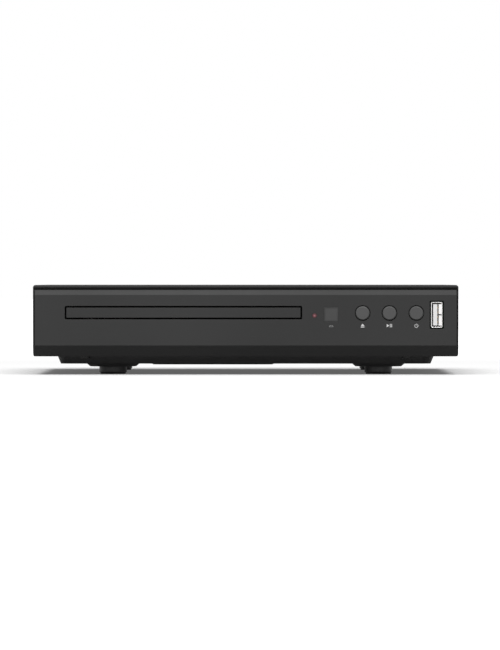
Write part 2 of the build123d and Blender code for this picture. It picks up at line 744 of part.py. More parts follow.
def top_cover():
    """Sheet bent over the top and both sides, with a lip that screws to the rear wall."""
    skin = front_rectangle(HALF, EDGE_Z, TOP_Z, CORNER)
    hollow = front_rectangle(HALF - SHEET, EDGE_Z - OVERRUN, TOP_Z - SHEET, CORNER - SHEET)
    cover = through(skin - hollow, COVER_Y, BACK)
    lip = front_rectangle(HALF - LIP_INSET, TOP_Z - LIP_HEIGHT, TOP_Z - SHEET / 2)
    cover = cover + through(lip, WALL_BACK_Y, BACK)
    for x, z in lip_screw_places():
        cover = cover - endwise(PILOT_R, WALL_BACK_Y - OVERRUN, BACK + OVERRUN, x, z)
    return cover


def front_rectangle(half, low, high, bend=0):
    """Front view of a rectangle about the middle, its upper corners bent round."""
    view = outline([(-half, low), (half, low), (half, high), (-half, high)])
    return fillet(view.vertices().group_by(Axis.Y)[-1], bend) if bend else view


def front_fascia():
    """Moulded front: raised face between a bevel and an undercut band, in a rounded rim."""
    pad_top = TOP_Z - RIM - GROOVE
    pad_half = HALF - SIDE_BORDER
    knee_z = EDGE_Z + KNEE_RISE
    rim_y = FACE + RIM_SETBACK
    groove_y = rim_y + GROOVE_DEPTH
    middle_z = (EDGE_Z + TOP_Z) / 2
    front_view = Pos(0, middle_z) * RectangleRounded(WIDTH, FASCIA_HEIGHT, CORNER)
    rim = through(front_view, rim_y, SKIRT_Y)
    rim = fillet(rim.faces().sort_by(Axis.Y)[0].edges(), RIM_ROUND)
    half = pad_half + SIDE_GROOVE
    rim = rim - block(-half, half, FACE, groove_y, knee_z, pad_top + GROOVE)
    raised = [
        (FACE, knee_z),
        (groove_y + WALL, knee_z),
        (groove_y + WALL, pad_top),
        (FACE + BEVEL_SETBACK, pad_top),
        (FACE, pad_top - BEVEL_DROP),
    ]
    band = [(FACE, knee_z), (FACE + KNEE_SETBACK, EDGE_Z), (SKIRT_Y, EDGE_Z), (SKIRT_Y, knee_z)]
    body = rim + across(outline(raised), -pad_half, pad_half)
    body = body + across(outline(band), -HALF, HALF)
    body = body & through(front_view, FACE, SKIRT_Y)
    below = [
        (FACE - OVERRUN, knee_z),
        (FACE, knee_z),
        (FACE + KNEE_SETBACK, EDGE_Z),
        (FACE + KNEE_SETBACK, EDGE_Z - OVERRUN),
        (FACE - OVERRUN, EDGE_Z - OVERRUN),
    ]
    body = body - across(outline(below), -WIDTH, WIDTH)

    lean = KNEE_SETBACK / KNEE_RISE
    shift = WALL * sqrt(1 + lean**2)
    end_y = SKIRT_Y + OVERRUN
    inside_z = EDGE_Z + WALL
    hollow = [
        (FACE + lean * (KNEE_RISE - WALL) + shift, inside_z),
        (end_y, inside_z),
        (end_y, pad_top - WALL),
        (FACE + WALL, pad_top - WALL),
        (FACE + WALL, knee_z + (shift - WALL) / lean),
    ]
    body = body - across(outline(hollow), WALL - pad_half, pad_half - WALL)
    inner = HALF - WALL
    body = body - block(-inner, inner, groove_y + WALL, end_y, knee_z, TOP_Z - WALL)

    outer = HALF - SHEET - COVER_FIT
    high = TOP_Z - SHEET - COVER_FIT
    lip = front_rectangle(outer, inside_z, high, CORNER - SHEET)
    lip = lip - front_rectangle(outer - TONGUE, inside_z, high - TONGUE)
    body = body + through(lip, SKIRT_Y - TONGUE, SKIRT_Y + TONGUE_REACH)
    flap_y = SKIRT_Y + FLAP_REACH
    body = body + block(FLAP_SIDE - HALF, HALF - FLAP_SIDE, SKIRT_Y - TONGUE, flap_y, FLANGE_Z, inside_z)
    for x, y in flap_screw_places():
        body = body + upright(FLAP_BOSS_R, FLANGE_Z, FLANGE_Z + FLAP_BOSS_RISE, x, y)
        body = body - upright(PILOT_R, FLANGE_Z - OVERRUN, FLANGE_Z + FLAP_BOSS_RISE, x, y)
    for x, z in front_boss_places():
        body = body + endwise(FRONT_BOSS_R, FACE + WALL / 2, BOARD_Y, x, z)
        body = body - endwise(PILOT_R, BOARD_Y - SCREW_LENGTH, BOARD_Y + OVERRUN, x, z)

    cuts = Pos(TRAY_X, SLOT_Z) * RectangleRounded(SLOT_WIDTH, SLOT_HEIGHT, SLOT_ROUND)
    cuts = cuts + Pos(LAMP_X, LAMP_Z) * Circle(LAMP_R + SHAFT_FIT)
    window = WINDOW_SIZE + SHAFT_FIT * 2
    cuts = cuts + Pos(WINDOW_X, WINDOW_Z) * Rectangle(window, window)
    for x in button_xs():
        cuts = cuts + Pos(x, BUTTON_Z) * Circle(BUTTON_R + BUTTON_GAP)
    size = (SOCKET_WIDTH + SOCKET_GAP * 2, SOCKET_HEIGHT + SOCKET_END_GAP * 2)
    socket = RectangleRounded(*size, SOCKET_CUT_ROUND)
    cuts = cuts + Pos(SOCKET_X, SOCKET_Z) * socket
    return body - through(cuts, FACE - OVERRUN, FACE + WALL + OVERRUN)


def foot():
    """Turned foot with a stem that snaps through the plinth."""
    rim_z = PAD_PROUD
    head_z = FOOT_HEIGHT + SHEET
    return turned(
        [
            (0, PAD_HEIGHT),
            (PAD_R + SHAFT_FIT, PAD_HEIGHT),
            (PAD_R + SHAFT_FIT, rim_z),
            (FOOT_R - FOOT_ROUND, rim_z),
            (FOOT_R, rim_z + FOOT_ROUND),
            (FOOT_R, FOOT_HEIGHT),
            (FOOT_STEM_R, FOOT_HEIGHT),
            (FOOT_STEM_R, head_z),
            (FOOT_STEM_R + FOOT_HEAD_LAP, head_z),
            (FOOT_STEM_R, head_z + FOOT_HEAD),
            (0, head_z + FOOT_HEAD),
        ]
    )


def foot_pad():
    return upright(PAD_R, 0, PAD_HEIGHT, 0, 0)


def cover_screws():
    return [Pos(x, BACK, z) * facing_back(screw()) for x, z in lip_screw_places()]


def inner_screws():
    """Screws of the fascia, the front board, the loader, the bridge and the other boards."""
    upside_down = screw().rotate(Axis.X, 180)
    screws = [Pos(x, y, EDGE_Z) * upside_down for x, y in flap_screw_places()]
    laid = facing_back(screw())
    for x, z in front_boss_places():
        screws.append(Pos(x, BOARD_Y + BOARD, z) * laid)
    seats = [(LOADER_Z + EAR_THICK, ear_places())]
    seats.append((BRIDGE_Z + BRIDGE, bridge_screw_places()))
    seats.append((BOARD_TOP, main_post_places() + power_post_places()))
    for z, places in seats:
        screws += [Pos(x, y, z) * screw() for x, y in places]
    return screws


# Front panel
def ir_window():
    """Square window with a flange behind the wall."""
    z = WINDOW_Z
    wide = WINDOW_SIZE + WINDOW_FLANGE * 2
    pane = through(Pos(WINDOW_X, z) * Rectangle(WINDOW_SIZE, WINDOW_SIZE), FACE, FACE + WALL)
    rim = Pos(WINDOW_X, z) * Rectangle(wide, wide)
    return pane + through(rim, FACE + WALL, FACE + WALL + WINDOW_FLANGE)


def lamp_pipe():
    """Light pipe from the lamp on the board to the face."""
    z = LAMP_Z
    pipe = endwise(LAMP_R, FACE, BOARD_Y - LED_DEPTH, LAMP_X, z)
    return pipe + endwise(LAMP_R + LAMP_LAP, FACE + WALL, FACE + WALL + LAMP_FLANGE, LAMP_X, z)


def standby_lamp():
    lamp = Pos(LAMP_X, LAMP_Z) * Rectangle(LED_WIDTH, LED_HEIGHT)
    return through(lamp, BOARD_Y - LED_DEPTH, BOARD_Y)


def button(x):
    """Cap turned about its axis, with the flange that keeps it in and the stem behind it."""
    front = -BUTTON_PROUD
    flange = WALL + FIT
    end = BOARD_SETBACK - SWITCH_HEIGHT - PLUNGER_REACH
    cap = turned(
        [
            (0, -end),
            (BUTTON_STEM_R, -end),
            (BUTTON_STEM_R, -flange - BUTTON_FLANGE),
            (BUTTON_R + BUTTON_LAP, -flange - BUTTON_FLANGE),
            (BUTTON_R + BUTTON_LAP, -flange),
            (BUTTON_R, -flange),
            (BUTTON_R, -front - BUTTON_EDGE),
            (BUTTON_R - BUTTON_EDGE, -front),
            (0, -front),
        ]
    )
    return Pos(x, FACE, BUTTON_Z) * facing_front(cap)


def plunger(x):
    """Plunger of a tact switch, which rides with its button."""
    top = BOARD_Y - SWITCH_HEIGHT
    return endwise(PLUNGER_R, top - PLUNGER_REACH, top + PLUNGER_DEPTH, x, BUTTON_Z)


def tact_switch(x):
    z = BUTTON_Z
    top = BOARD_Y - SWITCH_HEIGHT
    well = PLUNGER_DEPTH + BUTTON_TRAVEL + FIT
    case = through(Pos(x, z) * Rectangle(SWITCH_SIZE, SWITCH_SIZE), top, BOARD_Y)
    return case - endwise(PLUNGER_R + SHAFT_FIT, top - OVERRUN, top + well, x, z)


def ir_receiver():
    z = WINDOW_Z
    front = BOARD_Y - RECEIVER_DEPTH
    case = through(Pos(WINDOW_X, z) * Rectangle(RECEIVER_WIDTH, RECEIVER_HEIGHT), front, BOARD_Y)
    dome = Pos(WINDOW_X, front, z) * Sphere(RECEIVER_DOME_R)
    return case + dome


def socket_view(inset):
    """Front view of the host socket, drawn in by an inset."""
    size = (SOCKET_WIDTH - inset * 2, SOCKET_HEIGHT - inset * 2)
    return Pos(SOCKET_X, SOCKET_Z) * RectangleRounded(*size, SOCKET_ROUND - inset)


def host_shell():
    """Folded shell of the host socket."""
    tube = socket_view(0) - socket_view(SOCKET_SHEET)
    return through(tube, FACE + SOCKET_INSET, BOARD_Y)


def host_tongue():
    """Insulator of the host socket with its upright tongue."""
    z = SOCKET_Z
    base = through(socket_view(SOCKET_SHEET), BOARD_Y - SOCKET_BASE, BOARD_Y)
    tall = SOCKET_HEIGHT - SOCKET_TONGUE_MARGIN * 2
    blade = Pos(SOCKET_X - SOCKET_TONGUE_SHIFT, z) * Rectangle(SOCKET_TONGUE, tall)
    return base + through(blade, FACE + TONGUE_INSET, BOARD_Y - SOCKET_BASE)


def front_board():
    left, right = LAMP_X - FRONT_BOARD_INSET, HALF - FRONT_BOARD_SIDE
    low, high = FLANGE_Z + FLAP_BOSS_RISE + FRONT_BOARD_GAP, TOP_Z - FRONT_BOARD_DROP
    board = block(left, right, BOARD_Y, BOARD_Y + BOARD, low, high)
    for x, z in front_boss_places():
        board = board - endwise(PILOT_R, BOARD_Y - OVERRUN, BOARD_Y + BOARD + OVERRUN, x, z)
    return board


# Tooth forms of the loading gears
def half_tooth_deg(teeth, radius):
    """Angle from the middle of an involute tooth to its flank at a radius."""
    pitch_r = MODULE * teeth / 2
    pressure = radians(PRESSURE_DEG)
    base_r = pitch_r * cos(pressure)
    lean = acos(min(1, base_r / radius))
    half = (pi / 2 - SLACK_SHARE) / teeth
    return degrees(half + tan(pressure) - pressure - tan(lean) + lean)


def gear_view(teeth, phase_deg):
    """Plan of an involute gear about the origin, with a tooth at the phase angle."""
    pitch_r = MODULE * teeth / 2
    tip_r = pitch_r + MODULE * TIP_SHARE
    root_r = pitch_r - MODULE * ROOT_SHARE
    widths = [half_tooth_deg(teeth, r) for r in (root_r, pitch_r, tip_r)]

    def at(radius, angle):
        return (radius * cos(radians(angle)), radius * sin(radians(angle)))

    edges = []
    step = 360 / teeth
    for i in range(teeth):
        middle = phase_deg + i * step
        rising = [at(r, middle - w) for r, w in zip((root_r, pitch_r, tip_r), widths)]
        falling = [at(r, middle + w) for r, w in zip((root_r, pitch_r, tip_r), widths)]
        gap = at(root_r, middle + step - widths[0])
        edges.append(ThreePointArc(*rising))
        edges.append(Line(rising[-1], falling[-1]))
        edges.append(ThreePointArc(*falling[::-1]))
        edges.append(Line(falling[0], gap))
    return make_face(edges)


def rack_view():
    """Plan of the rack along the left side of the tray, teeth towards the drive gear."""
    pitch = pi * MODULE
    slope = tan(radians(PRESSURE_DEG))
    half = MODULE * (pi / 2 - SLACK_SHARE) / 2
    tip = MODULE * TIP_SHARE
    root = MODULE * ROOT_SHARE
    first = -int((GEAR_Y - TRAY_Y - TRAY_LIP) / pitch)
    last = int((TRAY_TRAVEL + RACK_TAIL) / pitch) - 1
    points = [(RACK_X - root, GEAR_Y + first * pitch)]
    for i in range(first, last):
        y = GEAR_Y + (i + 1 / 2) * pitch
        points += [
            (RACK_X - root, y - half - root * slope),
            (RACK_X + tip, y - half + tip * slope),
            (RACK_X + tip, y + half - tip * slope),
            (RACK_X - root, y + half + root * slope),
        ]
    points.append((RACK_X - root, GEAR_Y + last * pitch))
    points.append((RACK_X - root - TRAY_WALL, GEAR_Y + last * pitch))
    points.append((RACK_X - root - TRAY_WALL, GEAR_Y + first * pitch))
    return outline(points)


# Tray
def disc_tray():
    """Moulded tray: wells for both disc sizes, pickup slot, skirts and the rack under its left side."""
    half = TRAY_WIDTH / 2
    length = TRAY_BACK_Y - TRAY_Y
    centre = Pos(TRAY_X, (TRAY_Y + TRAY_BACK_Y) / 2)
    plan = centre * RectangleRounded(TRAY_WIDTH, length, TRAY_ROUND)
    tray = upward(plan, TRAY_Z, TRAY_TOP)
    under = block(
        TRAY_X - half + RACK_BACK,
        TRAY_X + half - TRAY_SKIRT,
        TRAY_Y + TRAY_SKIRT,
        TRAY_BACK_Y - TRAY_SKIRT,
        TRAY_Z - OVERRUN,
        TRAY_TOP - TRAY_DECK,
    )
    tray = tray - under
    well_low = WELL_Z - TRAY_WALL
    small_z = WELL_Z - SMALL_DISC_RECESS
    well = upright(DISC_R + TRAY_WALL, well_low, TRAY_TOP, TRAY_X, DISC_Y)
    tray = tray + (well & upward(plan, well_low, TRAY_TOP))
    tray = tray + upright(SMALL_DISC_R + TRAY_WALL, small_z - TRAY_WALL, WELL_Z, TRAY_X, DISC_Y)
    tray = tray - upright(DISC_R, WELL_Z, TRAY_TOP + OVERRUN, TRAY_X, DISC_Y)
    tray = tray - upright(SMALL_DISC_R, small_z, WELL_Z + OVERRUN, TRAY_X, DISC_Y)
    tray = tray + upward(rack_view(), TRAY_Z, well_low)
    lane = MODULE * (PINION_TEETH + TIP_SHARE * 2)
    lane_right = RACK_X + lane + FIT
    tray = tray - block(
        TRAY_X - half + RACK_BACK,
        lane_right,
        TRAY_BACK_Y - TRAY_SKIRT - OVERRUN,
        TRAY_BACK_Y + OVERRUN,
        TRAY_Z - OVERRUN,
        TRAY_TOP - TRAY_DECK,
    )
    slot = Pos(TRAY_X, DISC_Y) * Circle(HUB_HOLE_R)
    slot_middle = Pos(TRAY_X, DISC_Y + PICKUP_SLOT_LENGTH / 2)
    slot = slot + slot_middle * Rectangle(PICKUP_SLOT, PICKUP_SLOT_LENGTH)
    for side in (-1, 1):
        reach = (DISC_R + FINGER_R / 2) * cos(radians(45))
        slot = slot + Pos(TRAY_X + side * reach, DISC_Y + reach) * Circle(FINGER_R)
    return tray - upward(slot, TRAY_Z - OVERRUN, TRAY_TOP + OVERRUN)


def tray_door():
    """Door on the front of the tray, with two hooks under its front edge."""
    width = SLOT_WIDTH - DOOR_GAP * 2
    height = SLOT_HEIGHT - DOOR_GAP * 2
    view = Pos(TRAY_X, SLOT_Z) * RectangleRounded(width, height, SLOT_ROUND / 2)
    door = through(view, FACE, TRAY_Y)
    edge = TRAY_TOP - TRAY_DECK
    for side in (-1, 1):
        x = TRAY_X + side * (TRAY_WIDTH / 2 - DOOR_HOOK_INSET)
        left, right = x - DOOR_HOOK, x + DOOR_HOOK
        behind = TRAY_Y + TRAY_SKIRT
        door = door + block(left, right, behind, behind + DOOR_HOOK, TRAY_Z, edge)
        root = FACE + DOOR_THICK / 2
        door = door + block(left, right, root, behind + DOOR_HOOK, TRAY_Z, TRAY_Z + TRAY_WALL)
    return door


def tray_with_hook_slots():
    """The tray with the notches that the hooks of the door reach through."""
    tray = disc_tray()
    for side in (-1, 1):
        x = TRAY_X + side * (TRAY_WIDTH / 2 - DOOR_HOOK_INSET)
        reach = DOOR_HOOK + SHAFT_FIT
        behind = TRAY_Y + TRAY_SKIRT
        top = TRAY_Z + TRAY_WALL
        tray = tray - block(x - reach, x + reach, TRAY_Y - OVERRUN, behind, TRAY_Z - OVERRUN, top)
    return tray


# Loader
def loader_frame():
    """Moulded frame with the tray's ledges, the gear deck, the cam apron and the pivot bearings."""
    inner = LOADER_HALF
    outer = inner + LOADER_WALL
    left, right = TRAY_X - inner, TRAY_X + inner
    tab_z = TRAY_TOP + FIT
    wall_top = tab_z + TAB_THICK
    frame = block(left, right, LOADER_Y, APRON_Y, DECK_Z - DECK, DECK_Z)
    frame = frame + block(left, right, APRON_Y - APRON, APRON_Y, LOADER_Z, DECK_Z)
    beam_y = LOADER_BACK_Y - REAR_BEAM
    frame = frame + block(left, right, beam_y, LOADER_BACK_Y, LOADER_Z, TRAY_Z - REAR_BEAM_DROP)
    ledge_z = TRAY_Z - FIT
    for side in (-1, 1):
        wall, face = TRAY_X + side * outer, TRAY_X + side * inner
        low, high = sorted((wall, face))
        frame = frame + block(low, high, LOADER_Y, LOADER_BACK_Y, LOADER_Z, wall_top)
        low, high = sorted((face, face - side * LEDGE))
        frame = frame + block(low, high, LOADER_Y, LOADER_BACK_Y, ledge_z - LEDGE_THICK, ledge_z)
        low, high = sorted((face, face - side * TAB_REACH))
        for y in (LOADER_Y, DISC_Y - TAB_LENGTH / 2, beam_y - TAB_LENGTH):
            frame = frame + block(low, high, y, y + TAB_LENGTH, tab_z, wall_top)
        low, high = sorted((face, wall + side * BRIDGE_POST))
        post = (DISC_Y - BRIDGE_POST_HALF, DISC_Y + BRIDGE_POST_HALF)
        frame = frame + block(low, high, *post, tab_z, BRIDGE_Z)
    for x, y in ear_places():
        side = 1 if x > TRAY_X else -1
        low, high = sorted((TRAY_X + side * outer, TRAY_X + side * (outer + EAR)))
        frame = frame + block(low, high, y - EAR / 2, y + EAR / 2, LOADER_Z, LOADER_Z + EAR_THICK)
        frame = frame - upright(PILOT_R, LOADER_Z - OVERRUN, LOADER_Z + EAR_THICK + OVERRUN, x, y)
    for x, y in bridge_screw_places():
        frame = frame - upright(PILOT_R, BRIDGE_Z - SCREW_LENGTH, BRIDGE_Z + OVERRUN, x, y)
    frame = frame + slider_guide() + gear_pins()
    boss_r = MOTOR_BOSS_R + FIT
    frame = frame - upright(boss_r, DECK_Z - DECK - OVERRUN, DECK_Z + OVERRUN, MOTOR_X, GEAR_Y)
    return bearings(frame)


def bridge_screw_places():
    reach = LOADER_HALF + (LOADER_WALL + BRIDGE_POST) / 2
    return [(TRAY_X - reach, DISC_Y), (TRAY_X + reach, DISC_Y)]


def slider_guide():
    """Ledge and two hooks that hold the foot of the cam slider against the apron."""
    back = SLIDER_Y + SLIDER + FIT
    ledge_z = LOADER_Z + SLIDER_LEDGE
    guide = None
    for side in (-1, 1):
        x = TRAY_X + SLIDER_TRAVEL / 2 + side * SLIDER_HOOK_X
        left, right = x - SLIDER_HOOK_HALF, x + SLIDER_HOOK_HALF
        foot = block(left, right, APRON_Y - APRON, back + SLIDER_HOOK, LOADER_Z, ledge_z)
        hook = block(left, right, back, back + SLIDER_HOOK, LOADER_Z, SLIDER_Z + SLIDER_HOOK)
        guide = foot + hook if guide is None else guide + foot + hook
    return guide


def gear_pins():
    drive = upright(GEAR_PIN_R, DECK_Z - DECK, TRAY_Z + PINION_OVERLAP - FIT, GEAR_X, GEAR_Y)
    return drive + upright(GEAR_PIN_R, DECK_Z - DECK, PULLEY_Z + PULLEY_THICK, PULLEY_X, GEAR_Y)


def bearing_span(side):
    """Left and right of the bearing block at one end of the pivot."""
    near = TRAVERSE_HALF + FIT * 3
    return sorted((TRAY_X + side * near, TRAY_X + side * (near + BUSH_LENGTH)))


def bearings(frame):
    """Two blocks on the rear beam that hold the pivot bushes."""
    bore = TRUNNION_R + SHAFT_FIT + BUSH_WALL
    reach = bore + BEARING_WALL
    for side in (-1, 1):
        low, high = bearing_span(side)
        back = LOADER_BACK_Y - REAR_BEAM
        frame = frame + block(low, high, PIVOT_Y - reach, back, PIVOT_Z - reach, PIVOT_Z + bore / 2)
        frame = frame + sideways(reach, low, high, PIVOT_Y, PIVOT_Z)
        frame = frame - sideways(bore, low - OVERRUN, high + OVERRUN, PIVOT_Y, PIVOT_Z)
    return frame


def pivot_bushes():
    bushes = []
    for side in (-1, 1):
        low, high = bearing_span(side)
        sleeve = Circle(TRUNNION_R + SHAFT_FIT + BUSH_WALL) - Circle(TRUNNION_R + SHAFT_FIT)
        bushes.append(across(Pos(PIVOT_Y, PIVOT_Z) * sleeve, low, high))
    return bushes


def drive_gear():
    """Wheel driven by the pulley gear, with the pinion that meets the rack."""
    here = Pos(GEAR_X, GEAR_Y)
    pinion_low = TRAY_Z - FIT
    pinion_high = TRAY_Z + PINION_OVERLAP
    gear = upward(here * gear_view(WHEEL_TEETH, 0), WHEEL_Z, WHEEL_Z + WHEEL_THICK)
    gear = gear + upright(NECK_R, WHEEL_Z, pinion_high, GEAR_X, GEAR_Y)
    gear = gear + upward(here * gear_view(PINION_TEETH, 180), pinion_low, pinion_high)
    return gear - upright(GEAR_PIN_R + SHAFT_FIT, WHEEL_Z - OVERRUN, pinion_high + OVERRUN, GEAR_X, GEAR_Y)


def grooved(radius, low, high):
    """Pulley about Z with a square groove for the belt."""
    middle = (low + high) / 2
    half = BELT / 2 + SHAFT_FIT
    return turned(
        [
            (0, low),
            (radius, low),
            (radius, middle - half),
            (radius - PULLEY_GROOVE, middle - half),
            (radius - PULLEY_GROOVE, middle + half),
            (radius, middle + half),
            (radius, high),
            (0, high),
        ]
    )


def pulley_gear():
    """Belt pulley over the small gear that drives the wheel."""
    low, high = PULLEY_Z, PULLEY_Z + PULLEY_THICK
    phase = 180 + 180 / PULLEY_TEETH
    teeth = upward(Pos(PULLEY_X, GEAR_Y) * gear_view(PULLEY_TEETH, phase), WHEEL_Z, low)
    gear = teeth + Pos(PULLEY_X, GEAR_Y) * grooved(PULLEY_R, low, high)
    return gear - upright(GEAR_PIN_R + SHAFT_FIT, WHEEL_Z - OVERRUN, high + OVERRUN, PULLEY_X, GEAR_Y)


def motor_pulley():
    low, high = PULLEY_Z, PULLEY_Z + PULLEY_THICK
    pulley = Pos(MOTOR_X, GEAR_Y) * grooved(MOTOR_PULLEY_R, low, high)
    return pulley - upright(MOTOR_SHAFT_R + SHAFT_FIT, low - OVERRUN, high - FIT * 2, MOTOR_X, GEAR_Y)


def belt_loop(offset):
    """Plan inside the belt, widened by an offset."""
    seat = SHAFT_FIT * 2 - PULLEY_GROOVE + offset
    large = Pos(PULLEY_X, GEAR_Y) * Circle(PULLEY_R + seat)
    small = Pos(MOTOR_X, GEAR_Y) * Circle(MOTOR_PULLEY_R + seat)
    return make_hull([large.edges()[0], small.edges()[0]])


def drive_belt():
    middle = PULLEY_Z + PULLEY_THICK / 2
    loop = upward(belt_loop(BELT), middle - BELT / 2, middle + BELT / 2)
    return loop - upward(belt_loop(0), middle - BELT, middle + BELT)


def loading_motor():
    """Motor can under the deck, with its boss and shaft through the deck."""
    top = DECK_Z - DECK
    can = upright(MOTOR_R, top - MOTOR_LENGTH, top, MOTOR_X, GEAR_Y)
    can = can + upright(MOTOR_BOSS_R, top, DECK_Z, MOTOR_X, GEAR_Y)
    shaft_top = PULLEY_Z + PULLEY_THICK - FIT * 3
    return can + upright(MOTOR_SHAFT_R, top, shaft_top, MOTOR_X, GEAR_Y)


# Traverse, made level and then lowered about its pivot
def lowered(shape):
    return shape.rotate(Axis((0, PIVOT_Y, PIVOT_Z), (1, 0, 0)), TILT_DEG)


def traverse_frame():
    """Plate with the sled's window, ribs, rod seats, trunnions and lift pins."""
    plate_top = PLAY_Z - PLATE_DROP
    plate_low = plate_top - PLATE
    rib_low = plate_low - SIDE_RIB_DROP
    front, back = FACE + PLATE_FRONT, PIVOT_Y + PLATE_TAIL
    left, right = TRAY_X - TRAVERSE_HALF, TRAY_X + TRAVERSE_HALF
    frame = block(left, right, front, back, plate_low, plate_top)
    frame = frame + block(left, right, front, front + FRONT_FLANGE, rib_low, plate_top)
    for x in (left, right - SIDE_RIB):
        frame = frame + block(x, x + SIDE_RIB, front, back, rib_low, plate_top)
    frame = frame - block(
        TRAY_X - SLED_HALF - WINDOW_MARGIN,
        TRAY_X + WINDOW_RIGHT,
        WINDOW_FRONT_Y,
        WINDOW_BACK_Y,
        plate_low - OVERRUN,
        plate_top + OVERRUN,
    )
    seat_half = ROD_R + ROD_SEAT_WALL
    for x in (TRAY_X - ROD_X, TRAY_X + ROD_X, TRAY_X + LEAD_X):
        for near in (WINDOW_FRONT_Y - ROD_SEAT, WINDOW_BACK_Y):
            far = near + ROD_SEAT
            seat = block(x - seat_half, x + seat_half, near, far, ROD_Z - seat_half, plate_low)
            frame = frame + seat - endwise(ROD_R + SHAFT_FIT, near, far + OVERRUN, x, ROD_Z)
    for side in (-1, 1):
        edge = TRAY_X + side * TRAVERSE_HALF
        low, high = sorted((edge - side * SIDE_RIB, edge + side * TRUNNION_REACH))
        frame = frame + sideways(TRUNNION_R, low, high, PIVOT_Y, PIVOT_Z)
        pin_x = TRAY_X + side * LIFT_PIN_X
        frame = frame + endwise(LIFT_PIN_R, SLIDER_Y + FIT, front + FRONT_FLANGE, pin_x, PIVOT_Z)
    hole = SPINDLE_FOOT_R + SHAFT_FIT
    frame = frame - upright(hole, plate_low - OVERRUN, plate_top + OVERRUN, TRAY_X, DISC_Y)
    left = TRAY_X + LEAD_X - SLED_MOTOR_R - FIT
    right = TRAY_X + LEAD_X + SLED_MOTOR_R + FIT
    back = WINDOW_FRONT_Y - ROD_SEAT
    front = back - SLED_MOTOR_LENGTH - FIT
    frame = frame - block(left, right, front, back, plate_low - OVERRUN, plate_top + OVERRUN)
    return lowered(frame)


def guide_rods():
    front, back = WINDOW_FRONT_Y - ROD_SEAT, WINDOW_BACK_Y + ROD_SEAT
    places = (TRAY_X - ROD_X, TRAY_X + ROD_X)
    return [lowered(endwise(ROD_R, front, back, x, ROD_Z)) for x in places]


def spindle_motor():
    """Flat motor on the plate, with its foot through the plate."""
    top = PLAY_Z - PLATE_DROP
    motor = upright(SPINDLE_R, top, top + SPINDLE_HEIGHT, TRAY_X, DISC_Y)
    low = top - PLATE - SPINDLE_FOOT
    return lowered(motor + upright(SPINDLE_FOOT_R, low, top, TRAY_X, DISC_Y))


def turntable():
    """Disc seat with its centring cone and a short shaft into the motor."""
    low = PLAY_Z - TURNTABLE
    cone = turned(
        [
            (0, low),
            (TURNTABLE_R, low),
            (TURNTABLE_R, PLAY_Z - PAD_RING),
            (HUB_R + PAD_RING_WIDTH, PLAY_Z - PAD_RING),
            (HUB_R + PAD_RING_WIDTH, PLAY_Z),
            (HUB_R, PLAY_Z),
            (HUB_R - HUB_TAPER, PLAY_Z + HUB_HEIGHT),
            (0, PLAY_Z + HUB_HEIGHT),
        ]
    )
    return lowered(Pos(TRAY_X, DISC_Y) * cone)


def sled_motor():
    """Motor in front of the lead screw, against the front seat."""
    back = WINDOW_FRONT_Y - ROD_SEAT
    return lowered(endwise(SLED_MOTOR_R, back - SLED_MOTOR_LENGTH, back, TRAY_X + LEAD_X, ROD_Z))


def lead_screw():
    front, back = WINDOW_FRONT_Y, WINDOW_BACK_Y
    x = TRAY_X + LEAD_X
    shaft = endwise(ROD_R, front - ROD_SEAT + FIT, front, x, ROD_Z)
    shaft = shaft + endwise(LEAD_R, front, back, x, ROD_Z)
    return lowered(shaft + endwise(ROD_R, back, back + ROD_SEAT, x, ROD_Z))


def pickup_sled():
    """Sled on the two rods, with the nut arm that follows the lead screw."""
    top = PLAY_Z - SLED_DROP
    low = ROD_Z - SLED_UNDER
    front, back = LENS_Y - SLED_FRONT, LENS_Y + SLED_BACK
    sled = block(TRAY_X - SLED_HALF, TRAY_X + SLED_HALF, front, back, low, top)
    sled = sled - endwise(ROD_R + SHAFT_FIT, front - OVERRUN, back + OVERRUN, TRAY_X + ROD_X, ROD_Z)
    fork = ROD_R + SHAFT_FIT
    sled = sled - block(
        TRAY_X - SLED_HALF - OVERRUN,
        TRAY_X - ROD_X + fork,
        front - OVERRUN,
        back + OVERRUN,
        ROD_Z - fork,
        ROD_Z + fork,
    )
    arm_y = (front + back) / 2
    arm_right = TRAY_X + LEAD_X
    arm_low, arm_high = ROD_Z - SLED_ARM / 2, ROD_Z + SLED_ARM / 2
    near, far = arm_y - SLED_ARM, arm_y + SLED_ARM
    sled = sled + block(TRAY_X + SLED_HALF, arm_right, near, far, arm_low, arm_high)
    sled = sled - endwise(LEAD_R + LEAD_NOTCH, near - OVERRUN, far + OVERRUN, arm_right, ROD_Z)
    return lowered(sled)


def lens_holder():
    low, high = PLAY_Z - SLED_DROP, PLAY_Z - HOLDER_DROP
    plan = Pos(TRAY_X, LENS_Y) * RectangleRounded(HOLDER_WIDTH, HOLDER_LENGTH, HOLDER_ROUND)
    return lowered(upward(plan, low, high))


def objective_lens():
    low, high = PLAY_Z - HOLDER_DROP, PLAY_Z - LENS_DROP
    crown = LENS_R / 2
    lens = turned([(0, low), (LENS_R, low), (LENS_R, (low + high) / 2), (crown, high), (0, high)])
    return lowered(Pos(TRAY_X, LENS_Y) * lens)


